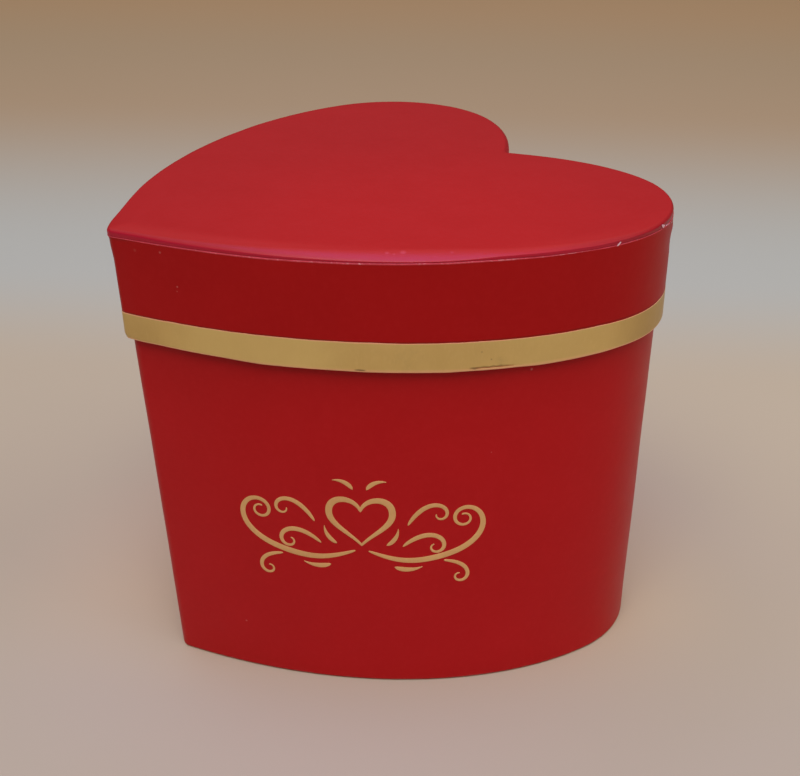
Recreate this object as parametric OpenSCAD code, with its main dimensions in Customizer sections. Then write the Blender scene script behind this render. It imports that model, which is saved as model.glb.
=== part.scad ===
// Heart-shaped gift box: a covered greyboard body, a little narrower at its
// base, and a straight-sided lid with a padded top, a deep skirt and a foil
// band. Z runs up from the surface that the box stands on. The point of the
// heart faces -Y and its cleft +Y. The lid is drawn seated on the body.

/* [Heart outline] */
// Width of the lid across the two lobes
lid_w = 185; // [165:1:200]
// From the level of the widest part down to the point of the heart
point_reach = 133.8; // [120:0.1:145]
// From the level of the widest part up to the bottom of the cleft
cleft_rise = 21.1; // [10:0.1:30]
// Angle at which a lobe leaves the cleft, above horizontal
lobe_angle = 41.2; // [30:0.1:50]
// Angle between a side and the centre line at the point
point_angle = 59; // [50:0.5:64]
// Fullness of the lobe at the cleft
cleft_pull = 67; // [58:0.5:75]
// Fullness of the lobe at its outer side
lobe_pull = 36.3; // [28:0.1:44]
// Straightness of the side just below its widest level
side_pull = 38; // [30:0.5:50]
// Straightness of the side as it nears the point
point_pull = 80.5; // [74:0.5:88]

/* [Heights] */
// Height of the closed box
box_h = 170; // [130:1:200]
// Depth of the lid's skirt, from its lower edge to the underside of the top
skirt_h = 36.1; // [26:0.1:60]
// Thickness of the lid's top: board, pad and paper
top_h = 2.7; // [2.4:0.1:5]
// Thickness of the pad on the top board
pad_t = 0.9; // [0.5:0.1:1.4]
// Width of the foil band
band_h = 10.1; // [6:0.1:16]

/* [Boards and papers] */
// Thickness of the body's wall boards
wall_t = 1.5; // [1.2:0.1:2]
// Thickness of the floor board
floor_t = 2; // [1.5:0.1:3]
// Thickness of the lid's skirt boards
skirt_t = 1; // [0.8:0.1:1.2]
// Thickness of the covering papers
paper_t = 0.2; // [0.15:0.05:0.25]
// Thickness of the lining paper where it covers a turned-in edge
lining_t = 0.2; // [0.15:0.05:0.25]
// Thickness of the gummed stay tape
tape_t = 0.15; // [0.1:0.05:0.15]
// Reach of the stay tape on each side of a joint
tape_w = 9; // [8:0.5:10]
// Thickness of the foil of the band and the ornament
foil_t = 0.12; // [0.1:0.02:0.2]

/* [Fit] */
// Gap between the lining of the skirt and the rim of the body
rim_gap = 0.3; // [0.3:0.05:0.6]
// How much narrower each side of the body is at the base than at the rim
base_taper = 1.7; // [0:0.1:3]
// Depth of the paper turned in over the rim
rim_turn = 15; // [10:0.5:20]
// Depth of the paper turned under the base
base_turn = 12; // [8:0.5:12]
// Depth of the paper turned up inside the skirt
skirt_turn = 12; // [8:0.5:16]
// Depth of the paper turned under the top board
top_turn = 8; // [5:0.5:10]

/* [Ornament] */
// Distance from the point of the heart to the middle of the ornament, along the wall
orn_s = 77; // [70:1:100]
// Height of the middle of the ornament
orn_z = 72; // [60:1:80]
// Scale of the ornament
orn_scale = 1; // [0.7:0.05:1.1]

/* [Hidden] */

// ---- levels --------------------------------------------------------------
top_z = box_h - top_h;              // underside of the lid's top
skirt_z = top_z - skirt_h;          // lower edge of the skirt
rim_z = top_z - lining_t;           // rim of the body, under the top's lining
skirt_turn_z = skirt_z + paper_t + skirt_turn;
lid_in = paper_t + skirt_t + paper_t + lining_t;  // inner face of the skirt
rim_in = lid_in + rim_gap;          // outer face of the body at its rim
wall_in = paper_t + wall_t;         // inner face of the wall boards
liner_in = wall_in + paper_t + lining_t + 0.05;   // inner face of the lining
floor_z = 2 * paper_t + floor_t;    // top of the floor board
rim_turn_z = rim_z - rim_turn;      // lower edge of the rim's turned-in paper

// ---- the heart -------------------------------------------------------------
// One side is two cubic curves: cleft to widest point, widest point to tip.
lobe_n = 26;
side_n = 28;
half_n = lobe_n + side_n;
n = 2 * half_n;
function bez(a, b, c, d, t) = let (u = 1 - t)
    u*u*u*a + 3*u*u*t*b + 3*u*t*t*c + t*t*t*d;
c_p = [0, cleft_rise];
s_p = [lid_w / 2, 0];
t_p = [0, -point_reach];
lobe = [for (i = [0:lobe_n - 1]) bez(c_p,
    c_p + cleft_pull * [cos(lobe_angle), sin(lobe_angle)],
    s_p + [0, lobe_pull], s_p, i / lobe_n)];
side = [for (i = [0:side_n - 1]) let (u = i / side_n) bez(s_p,
    s_p - [0, side_pull],
    t_p + point_pull * [sin(point_angle), cos(point_angle)], t_p,
    u * (0.6 + 0.4 * u))];
right = concat(lobe, side, [t_p]);
// Counter-clockwise from the cleft, by the left lobe: 0 is the cleft, half_n the point
ring0 = concat([for (p = right) [-p[0], p[1]]],
    [for (i = [half_n - 1:-1:1]) right[i]]);
y_mid = (max([for (p = ring0) p[1]]) + min([for (p = ring0) p[1]])) / 2;
heart = [for (p = ring0) [p[0], p[1] - y_mid]];
function unit(v) = v / norm(v);
e_dir = [for (i = [0:n - 1]) unit(heart[(i + 1) % n] - heart[i])];
e_len = [for (i = [0:n - 1]) norm(heart[(i + 1) % n] - heart[i])];
e_out = [for (d = e_dir) [d[1], -d[0]]];
corner = [for (i = [0:n - 1]) let (a = e_out[(i + n - 1) % n], b = e_out[i])
    (a + b) / (1 + a * b)];

// A vertex is [x, y] and the way that it moves out with the outline
function v(i) = [heart[i % n], corner[i % n]];
// A place on edge i, s along it
function on_edge(i, s) = [heart[i] + e_dir[i] * s, e_out[i]];
function at_in(q, d) = q[0] - q[1] * d;
function inset(d) = [for (i = [0:n - 1]) at_in(v(i), d)];

// ---- straight pieces ------------------------------------------------------
module plate(d, z0, z1) {
    translate([0, 0, z0]) linear_extrude(z1 - z0) polygon(inset(d));
}
module band(d0, d1, z0, z1) {
    translate([0, 0, z0]) linear_extrude(z1 - z0)
        polygon(concat(inset(d0), inset(d1)),
            paths = [[for (i = [0:n - 1]) i], [for (i = [0:n - 1]) n + i]]);
}
// A strip between two insets along a list of outline places
module strip(q, d0, d1, z0, z1) {
    m = len(q);
    translate([0, 0, z0]) linear_extrude(z1 - z0) polygon(concat(
        [for (i = [0:m - 1]) at_in(q[i], d0)],
        [for (i = [m - 1:-1:0]) at_in(q[i], d1)]));
}

// ---- swept pieces ---------------------------------------------------------
// st is a list of stations, each a list of 3-D points in one order
module sweep(st, closed) {
    m = len(st[0]);
    k = len(st);
    polyhedron(
        points = [for (s = st) for (p = s) p],
        faces = concat(
            [for (i = [0:closed ? k - 1 : k - 2]) for (j = [0:m - 1])
                let (a = (i + 1) % k, b = (j + 1) % m)
                [i*m + j, i*m + b, a*m + b, a*m + j]],
            closed ? [] : [[for (j = [m - 1:-1:0]) j],
                [for (j = [0:m - 1]) (k - 1)*m + j]]),
        convexity = 8);
}
// Inset of the body's outer face at height z
function body_in(z) = rim_in + base_taper * (1 - z / rim_z);
// A station of the body's wall: prof is a list of [depth in the wall, z]
function station(q, prof) = [for (p = prof)
    let (w = at_in(q, body_in(p[1]) + p[0])) [w[0], w[1], p[1]]];

right_half = [for (i = [half_n:n]) v(i)];
left_half = [for (i = [0:half_n]) v(i)];

// Where the stay tape lies: within tape_w of the point and of the cleft
cleft_s = tape_w - e_len[0];
point_s = e_len[half_n - 1] - tape_w;
ramp = 0.3;
at_cleft = [on_edge(n - 2, e_len[n - 2] - cleft_s), v(n - 1), v(0), v(1),
    on_edge(1, cleft_s)];
at_point = [on_edge(half_n - 1, point_s), v(half_n), on_edge(half_n, tape_w)];
// The whole outline with those places in it, each with 1 where tape backs it
taped = concat(
    [[v(0), 1], [v(1), 1], [on_edge(1, cleft_s), 1],
        [on_edge(1, cleft_s + ramp), 0]],
    [for (i = [2:half_n - 1]) [v(i), 0]],
    [[on_edge(half_n - 1, point_s - ramp), 0],
        [on_edge(half_n - 1, point_s), 1], [v(half_n), 1],
        [on_edge(half_n, tape_w), 1], [on_edge(half_n, tape_w + ramp), 0]],
    [for (i = [half_n + 1:n - 2]) [v(i), 0]],
    [[on_edge(n - 2, e_len[n - 2] - cleft_s - ramp), 0],
        [on_edge(n - 2, e_len[n - 2] - cleft_s), 1], [v(n - 1), 1]]);

// ---- body ------------------------------------------------------------------
module wall_board(half) {
    color([0.62, 0.57, 0.5]) sweep([for (q = half) station(q,
        [[paper_t, 2*paper_t], [paper_t, rim_z - paper_t],
            [wall_in, rim_z - paper_t], [wall_in, 2*paper_t]])], false);
}
module wall_board_right() wall_board(right_half);
module wall_board_left() wall_board(left_half);

module body_tape(places) {
    color([0.78, 0.62, 0.4]) sweep([for (q = places) station(q,
        [[wall_in, floor_z], [wall_in, rim_turn_z],
            [wall_in + tape_t, rim_turn_z], [wall_in + tape_t, floor_z]])],
        false);
}
module point_stay_tape() body_tape(at_point);
module cleft_stay_tape() body_tape(at_cleft);

module floor_board() {
    color([0.62, 0.57, 0.5])
        plate(body_in(2*paper_t) + wall_in, 2*paper_t, floor_z);
}
module base_cover_sheet() {
    color([0.13, 0.12, 0.12]) plate(body_in(0) + 2, 0, paper_t);
}
module body_wrap() {
    o = 0;
    color([0.59, 0.09, 0.11]) sweep([for (i = [0:n - 1]) station(v(i),
        [[o, paper_t], [o, rim_z], [wall_in + paper_t, rim_z],
            [wall_in + paper_t, rim_turn_z], [wall_in, rim_turn_z],
            [wall_in, rim_z - paper_t], [paper_t, rim_z - paper_t],
            [paper_t, 2*paper_t], [base_turn, 2*paper_t],
            [base_turn, paper_t]])], true);
}
module wall_lining() {
    color([0.9, 0.88, 0.84]) sweep([for (q = taped)
        let (a = wall_in + tape_t * q[1])
        station(q[0], [[a, floor_z], [a, rim_turn_z],
            [wall_in + paper_t, rim_turn_z], [wall_in + paper_t, rim_z - 4],
            [liner_in, rim_z - 4], [liner_in, floor_z]])], true);
}
module floor_lining() {
    color([0.9, 0.88, 0.84])
        plate(body_in(floor_z) + liner_in, floor_z, floor_z + paper_t);
}

// ---- foil ornament ----------------------------------------------------------
// The right wall, laid out flat from the point: distance along it to edge index
wall_ref = [for (i = [half_n:n]) at_in(v(i), rim_in + base_taper / 2)];
wall_seg = [for (i = [0:half_n - 1]) norm(wall_ref[i + 1] - wall_ref[i])];
function total(list, k) = k <= 0 ? 0 : list[k - 1] + total(list, k - 1);
wall_key = [for (k = [0:half_n]) [total(wall_seg, k), k]];
function on_wall(s, z, out) = let (f = lookup(s, wall_key),
    k = min(floor(f), half_n - 1), r = f - k, i = half_n + k,
    p = at_in(v(i), body_in(z)) * (1 - r) + at_in(v(i + 1), body_in(z)) * r
        + e_out[i] * out) [p[0], p[1], z];
function flat(p) = [orn_s + orn_scale * p[0], orn_z + orn_scale * p[1]];
// A stroke follows c with half widths w and stands foil_t off the wall
function stroke(c, w, closed) = let (m = len(c)) [for (i = [0:m - 1])
    let (a = closed ? c[(i + m - 1) % m] : c[max(i - 1, 0)],
        b = closed ? c[(i + 1) % m] : c[min(i + 1, m - 1)],
        d = unit(b - a), l = [-d[1], d[0]] * w[i],
        p = flat(c[i] - l), q = flat(c[i] + l))
    [on_wall(p[0], p[1], 0.03), on_wall(p[0], p[1], 0.03 + foil_t),
        on_wall(q[0], q[1], 0.03 + foil_t), on_wall(q[0], q[1], 0.03)]];
// Curls are drawn by their bend, in degrees per mm, at even steps along them
function bend_sum(u, k) = let (m = len(k) - 1, j = min(floor(u * m), m - 1),
    f = u * m - j)
    (total([for (i = [0:m - 1]) (k[i] + k[i + 1]) / 2], j)
        + k[j] * f + (k[j + 1] - k[j]) * f * f / 2) / m;
function along(i, m) = 1 - pow(1 - i / m, 1.45);
function curl(start, heading, len, k, m) = [
    for (i = 0, q = start; i <= m;
        q = q + len * (along(i + 1, m) - along(i, m))
            * (i < m ? [cos(heading + len * bend_sum((along(i, m) + along(i + 1, m)) / 2, k)),
                sin(heading + len * bend_sum((along(i, m) + along(i + 1, m)) / 2, k))] : [0, 0]),
        i = i + 1) q];
function curl_w(w, w0, m) = [for (i = [0:m]) let (u = along(i, m))
    (w0 + (w - w0) * pow(max(0, sin(180 * pow(u, 0.65))), 0.9)) / 2];
// start, heading, length, bend, full width, end width, steps
curls = [
    [[2.6, -12.2], -22, 76, [0.2, 2.4, 0.9, 3.4, 8.4, 16, 30], 2.3, 0.6, 40],
    [[14.6, -9.6], 44, 27, [-2, -4.5, -11, -20, -40], 1.8, 0.5, 22],
    [[29, -16.2], -8, 21, [-2, -6, -13, -26, -44], 1.5, 0.5, 20],
    [[16.4, -0.6], 62, 25, [-2, -3.5, -10, -20, -40], 1.7, 0.5, 22],
    [[11.4, -18.8], -24, 10, [5, 5], 1.9, 0.2, 10],
    [[8.8, -9.4], 30, 8.5, [7, 7], 1.6, 0.2, 10],
    [[2.4, 13.4], 62, 8, [-9, -9], 1.6, 0.2, 10]];
heart_n = 12;
heart_side = concat(
    [for (i = [0:heart_n - 1]) bez([0, 4.6], [1.6, 10.6], [11.2, 11], [11, 3.6], i / heart_n)],
    [for (i = [0:heart_n]) bez([11, 3.6], [10.8, -1.6], [4.2, -4.4], [0, -9.6], i / heart_n)]);
function heart_w(u) = (0.9 + 1.5 * pow(sin(180 * pow(u, 0.8)), 1.2)) / 2;
module foil_ornament() {
    hn = 2 * heart_n;
    color([0.8, 0.62, 0.38]) {
        for (c = curls) {
            p = curl(c[0], c[1], c[2], c[3], c[6]);
            w = curl_w(c[4], c[5], c[6]);
            sweep(stroke(p, w, false), false);
            sweep(stroke([for (q = p) [-q[0], q[1]]], w, false), false);
        }
        sweep(stroke(concat(heart_side,
                [for (i = [hn - 1:-1:1]) [-heart_side[i][0], heart_side[i][1]]]),
            concat([for (i = [0:hn]) heart_w(i / hn)],
                [for (i = [hn - 1:-1:1]) heart_w(i / hn)]), true), true);
    }
}

// ---- lid -------------------------------------------------------------------
module lid_top_board() {
    color([0.62, 0.57, 0.5])
        plate(paper_t, top_z + paper_t, box_h - paper_t - pad_t);
}
module lid_top_pad() {
    color([0.93, 0.92, 0.9])
        plate(paper_t, box_h - paper_t - pad_t, box_h - paper_t);
}
module lid_top_paper() {
    color([0.68, 0.16, 0.18]) difference() {
        plate(0, top_z, box_h);
        plate(paper_t, top_z + paper_t, box_h - paper_t);
        plate(top_turn, top_z - 1, top_z + 2*paper_t);
    }
}
module skirt_board(half) {
    color([0.62, 0.57, 0.5])
        strip(half, paper_t, paper_t + skirt_t, skirt_z + paper_t, top_z);
}
module lid_skirt_board_right() skirt_board(right_half);
module lid_skirt_board_left() skirt_board(left_half);
module lid_tape(places) {
    color([0.78, 0.62, 0.4]) strip(places, paper_t + skirt_t,
        paper_t + skirt_t + tape_t, skirt_turn_z, top_z);
}
module lid_point_stay_tape() lid_tape(at_point);
module lid_cleft_stay_tape() lid_tape(at_cleft);
module lid_skirt_wrap() {
    color([0.55, 0.07, 0.09]) difference() {
        plate(0, skirt_z, top_z);
        band(paper_t, paper_t + skirt_t, skirt_z + paper_t, top_z + 1);
        plate(paper_t + skirt_t, skirt_turn_z, top_z + 1);
        plate(2*paper_t + skirt_t, skirt_z - 1, skirt_turn_z + 1);
    }
}
module gold_band() {
    color([0.75, 0.6, 0.32]) band(-foil_t, 0, skirt_z, skirt_z + band_h);
}
module lid_top_lining() {
    color([0.9, 0.88, 0.84]) union() {
        plate(lid_in, top_z - lining_t, top_z);
        plate(top_turn, top_z - lining_t, top_z + paper_t);
    }
}
module lid_skirt_lining() {
    m = len(taped);
    color([0.9, 0.88, 0.84]) union() {
        band(lid_in - lining_t, lid_in, skirt_z + 4, skirt_turn_z);
        translate([0, 0, skirt_turn_z]) linear_extrude(top_z - skirt_turn_z)
            polygon(concat(
                [for (q = taped) at_in(q[0], paper_t + skirt_t + tape_t * q[1])],
                inset(lid_in)),
                paths = [[for (i = [0:m - 1]) i], [for (i = [0:n - 1]) m + i]]);
    }
}

wall_board_right();
wall_board_left();
point_stay_tape();
cleft_stay_tape();
floor_board();
base_cover_sheet();
body_wrap();
wall_lining();
floor_lining();
foil_ornament();
lid_top_board();
lid_top_pad();
lid_top_paper();
lid_skirt_board_right();
lid_skirt_board_left();
lid_point_stay_tape();
lid_cleft_stay_tape();
lid_skirt_wrap();
gold_band();
lid_top_lining();
lid_skirt_lining();
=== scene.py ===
# Heart-shaped gift box of covered board: a tall body and a straight-sided lid
# with a softly padded top, a deep skirt and a gold foil band. Lengths in the
# outline and layer tables are millimetres; every mesh is made in metres.
import math

import bmesh
import bpy
import numpy as np
from mathutils import Matrix, Vector, noise


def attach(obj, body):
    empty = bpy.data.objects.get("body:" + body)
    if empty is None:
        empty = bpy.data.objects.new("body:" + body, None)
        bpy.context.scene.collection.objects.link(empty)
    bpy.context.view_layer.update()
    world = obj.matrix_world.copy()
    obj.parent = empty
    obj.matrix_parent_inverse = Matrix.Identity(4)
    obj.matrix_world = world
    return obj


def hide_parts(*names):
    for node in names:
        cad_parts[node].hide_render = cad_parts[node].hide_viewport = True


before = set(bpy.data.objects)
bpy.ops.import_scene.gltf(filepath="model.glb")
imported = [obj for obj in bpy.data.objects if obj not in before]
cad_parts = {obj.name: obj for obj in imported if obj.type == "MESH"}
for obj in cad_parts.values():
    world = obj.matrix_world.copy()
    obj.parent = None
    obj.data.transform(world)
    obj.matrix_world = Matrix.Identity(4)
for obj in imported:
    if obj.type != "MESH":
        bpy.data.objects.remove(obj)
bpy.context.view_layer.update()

MM = 0.001

# ---------------------------------------------------------------- levels (mm)
BOX_H = 170.0
TOP_Z = 167.3          # underside of the lid's top
SKIRT_Z = 131.2        # lower edge of the skirt
RIM_Z = 167.1          # rim of the body
BAND_H = 10.1
SKIRT_TURN_Z = 143.4
RIM_TURN_Z = 152.1
RIM_IN, TAPER = 1.9, 1.7


def body_in(z):
    """Inset of the body's outer face from the lid's outline at height z."""
    return RIM_IN + TAPER * (1 - z / RIM_Z)


# ------------------------------------------------------------ heart outline
def bez(a, b, c, d, t):
    t = t[:, None]
    u = 1 - t
    return u**3 * a + 3 * u * u * t * b + 3 * u * t * t * c + t**3 * d


LOBE_A, POINT_A = math.radians(41.2), math.radians(59.0)
C0 = np.array([0, 21.1])
S0 = np.array([92.5, 0.0])
T0 = np.array([0, -133.8])
LOBE = (C0, C0 + 67.0 * np.array([math.cos(LOBE_A), math.sin(LOBE_A)]),
        S0 + np.array([0, 36.3]), S0)
SIDE = (S0, S0 - np.array([0, 38.0]),
        T0 + 80.5 * np.array([math.sin(POINT_A), math.cos(POINT_A)]), T0)
_lobe = bez(*LOBE, np.linspace(0, 1, 27))
Y_MID = (_lobe[:, 1].max() + T0[1]) / 2

# The right side, dense, from the cleft to the point, with its outward normals
_p = np.vstack([bez(*LOBE, np.linspace(0, 1, 1401)[:-1]),
                bez(*SIDE, np.linspace(0, 1, 1601))])
_p[:, 1] -= Y_MID
_t = np.gradient(_p, axis=0)
_t[0] = [math.cos(LOBE_A), math.sin(LOBE_A)]
_t[-1] = [-math.sin(POINT_A), -math.cos(POINT_A)]
_t /= np.linalg.norm(_t, axis=1)[:, None]
_n = np.stack([-_t[:, 1], _t[:, 0]], axis=1)
_l = np.concatenate([[0], np.cumsum(np.linalg.norm(np.diff(_p, axis=0), axis=1))])
SIDE_LEN = _l[-1]      # length of one side along the lid's outline
EXT = np.linspace(0, 40, 401)[1:]


def offset_side(d):
    """The right side moved in by d, drawn on past both ends: points, tangents
    and the place of each along the outline."""
    q = _p - d * _n
    a = q[0] - EXT[::-1, None] * _t[0]
    b = q[-1] + EXT[:, None] * _t[-1]
    pts = np.vstack([a, q, b])
    tan = np.vstack([np.repeat(_t[:1], len(EXT), 0), _t,
                     np.repeat(_t[-1:], len(EXT), 0)])
    ln = np.concatenate([-EXT[::-1], _l, SIDE_LEN + EXT])
    return pts, tan, ln


def crossing(f, first):
    """Index place where f passes zero, from the first end or from the last."""
    s = f > 0
    idx = np.nonzero(s[1:] != s[:-1])[0]
    i = idx[0] if first else idx[-1]
    return i + f[i] / (f[i] - f[i + 1])


def lerp_at(a, x):
    i = int(math.floor(x))
    r = x - i
    return a[i] * (1 - r) + a[i + 1] * r


ARC = 6                # steps in half a rounded corner
SIDE_N = 240           # stations along one side
HALF = ARC + SIDE_N - 1 + ARC      # steps from the cleft to the point
RING = 2 * HALF


def half_ring(d, rp, rc):
    """One half of the heart, cleft to point, at inset d, with the point rounded
    to radius rp and the cleft to rc: points, outward normals and places."""
    pts, tan, ln = offset_side(d)
    k = len(EXT)
    mid = k + 1400
    fa = pts[:mid, 0] - rc * np.abs(tan[:mid, 1])
    fb = pts[mid:, 0] - rp * np.abs(tan[mid:, 1])
    xa = crossing(fa, True)
    xb = mid + crossing(fb, False)
    la, lb = lerp_at(ln, xa), lerp_at(ln, xb)
    lj = la + (lb - la) * np.linspace(0, 1, SIDE_N)
    xj = np.interp(lj, ln, np.arange(len(ln)))
    q = np.stack([np.interp(xj, np.arange(len(ln)), pts[:, c]) for c in (0, 1)], 1)
    t = np.stack([np.interp(xj, np.arange(len(ln)), tan[:, c]) for c in (0, 1)], 1)
    t /= np.linalg.norm(t, axis=1)[:, None]
    # corner arcs, centred on the axis
    ca = np.array([0, q[0, 1] + q[0, 0] * t[0, 0] / t[0, 1]])
    cb = np.array([0, q[-1, 1] + q[-1, 0] * t[-1, 0] / t[-1, 1]])
    ra, rb = np.linalg.norm(q[0] - ca), np.linalg.norm(q[-1] - cb)
    ea = math.atan2(q[0, 0], ca[1] - q[0, 1])
    eb = math.atan2(q[-1, 0], cb[1] - q[-1, 1])
    aa = np.linspace(0, ea, ARC + 1)[:-1]
    ab = np.linspace(eb, 0, ARC + 1)[1:]
    arc_a = ca + ra * np.stack([np.sin(aa), -np.cos(aa)], 1)
    arc_b = cb + rb * np.stack([np.sin(ab), -np.cos(ab)], 1)
    na = np.stack([-np.sin(aa), np.cos(aa)], 1)
    nb = np.stack([np.sin(ab), -np.cos(ab)], 1)
    ns = np.stack([-t[:, 1], t[:, 0]], 1)
    return (np.vstack([arc_a, q, arc_b]), np.vstack([na, ns, nb]),
            np.concatenate([la - ra * (ea - aa), lj, lb + rb * (eb - ab)]))


_cache = {}


def ring(d, rp, rc):
    """The whole heart, anticlockwise from the cleft: points and normals."""
    key = (round(d, 4), round(rp, 3), round(rc, 3))
    if key not in _cache:
        p, n, _ = half_ring(*key)
        f = np.array([-1, 1])
        _cache[key] = (np.vstack([p * f, p[-2:0:-1]]), np.vstack([n * f, n[-2:0:-1]]))
    return _cache[key]


# Place of each station: distance from the point along the outline, positive on
# the right half and negative on the left
_, _, _hl = half_ring(0, 2.0, 0.8)
_s = SIDE_LEN - _hl
STATION_S = np.concatenate([-_s, _s[-2:0:-1]])


def smoothstep(a, b, x):
    t = np.clip((np.asarray(x, float) - a) / (b - a), 0, 1)
    return t * t * (3 - 2 * t)


def by_station(table):
    """A value for every station, from pairs of distance and value."""
    t = np.array(table, float)
    return np.interp(STATION_S, t[:, 0], t[:, 1])


def bell(s0, w):
    """1 at the stations near s0, falling off over w mm."""
    return np.exp(-((STATION_S - s0) / w) ** 2)


TIP_IN = 0.25 * smoothstep(-75, -35, STATION_S) * (1 - smoothstep(0, 6, STATION_S))
LID_RP, LID_RC = 3.0, 0.8
BODY_RP, BODY_RC = 5.0, 1.2


def lid_ring(d):
    return ring(d, max(LID_RP - d, 0.3), max(LID_RC + d, 0.3))


def body_ring(depth, z):
    return ring(body_in(z) + depth, max(BODY_RP - depth, 0.3), BODY_RC + depth)


# ------------------------------------------------------------- mesh making
def new_object(name, verts, faces, mats=(), mat_idx=None, smooth=38, recalc=True):
    me = bpy.data.meshes.new(name)
    me.from_pydata([tuple(v) for v in verts], [], [tuple(f) for f in faces])
    for m in mats:
        me.materials.append(m)
    if mat_idx is not None:
        me.polygons.foreach_set("material_index", np.asarray(mat_idx, np.int32))
    bm = bmesh.new()
    bm.from_mesh(me)
    if recalc:
        bmesh.ops.recalc_face_normals(bm, faces=bm.faces)
    bm.to_mesh(me)
    bm.free()
    me.shade_smooth()
    me.set_sharp_from_angle(angle=math.radians(smooth))
    me.update()
    ob = bpy.data.objects.new(name, me)
    bpy.context.scene.collection.objects.link(ob)
    return ob


def at(rg, z, out=0.0):
    """Points of a ring at height z, moved outward by out (mm). z and out may be
    arrays with one value for each station."""
    p, n = rg
    q = p + n * np.reshape(out, (-1, 1)) if np.ndim(out) else p + n * out
    zz = np.full(len(p), z) if np.ndim(z) == 0 else np.asarray(z)
    return np.column_stack([q, zz]) * MM


def band_faces(rows, closed, width, j0=0, wrap=True):
    """Quads between consecutive rows of width points each."""
    f = []
    nr = rows if closed else rows - 1
    nj = width if wrap else width - 1
    for i in range(nr):
        a, b = i * width, ((i + 1) % rows) * width
        for j in range(nj):
            k = (j + 1) % width
            f.append((a + j, a + k, b + k, b + j))
    return f


def loft(name, rows, closed=True, caps=(None, None), mats=(), row_mat=None, smooth=38):
    """A solid from rings of points. closed joins the last row to the first;
    caps gives a centre point that closes the first or the last row."""
    w = len(rows[0])
    v = np.vstack(rows)
    f = band_faces(len(rows), closed, w)
    mi = []
    nr = len(rows) if closed else len(rows) - 1
    for i in range(nr):
        mi += [row_mat[i] if row_mat else 0] * w
    for which, c in enumerate(caps):
        if c is None:
            continue
        k = len(v)
        v = np.vstack([v, [c]])
        base = 0 if which == 0 else (len(rows) - 1) * w
        f += [(base + j, base + (j + 1) % w, k) for j in range(w)]
        mi += [row_mat[0 if which == 0 else -1] if row_mat else 0] * w
    return new_object(name, v, f, mats, mi, smooth)


def strip(name, loop_rows, mats=(), smooth=38):
    """A solid from a closed loop of open rows, with flat ends."""
    w, m = len(loop_rows[0]), len(loop_rows)
    v = np.vstack(loop_rows)
    f = band_faces(m, True, w, wrap=False)
    f.append(tuple(i * w for i in range(m)))
    f.append(tuple(i * w + w - 1 for i in range(m - 1, -1, -1)))
    return new_object(name, v, f, mats, None, smooth)


CENTRE = np.array([0.0, 8.0])


def disc_rows(rg, z_of, steps, out=0.0):
    """Rings shrinking from rg towards the middle. z_of(points, share) gives the
    height, where share is 1 at rg and 0 in the middle."""
    rows = []
    for s in steps:
        p = CENTRE + (rg[0] - CENTRE) * s
        rows.append(np.column_stack([p, z_of(p, s)]) * MM)
    c = CENTRE[None, :]
    cz = z_of(c, 0.0)
    return rows, np.array([c[0, 0], c[0, 1], float(np.ravel(cz)[0])]) * MM


def arc(c, r, a0, a1, n):
    """Points of an arc in a layer's section: (depth, z)."""
    return [(c[0] + r * math.cos(math.radians(a)), c[1] + r * math.sin(math.radians(a)))
            for a in np.linspace(a0, a1, n)]


def wave(pts, size, seed, octaves=2):
    """Smooth noise at points in mm, about -1 to 1."""
    o = Vector((seed * 17.3, seed * 5.1, seed * 9.7))
    out = np.empty(len(pts))
    for i, p in enumerate(pts):
        out[i] = noise.fractal(Vector(p) / size + o, 0.6, 2.0, octaves)
    return out


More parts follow.
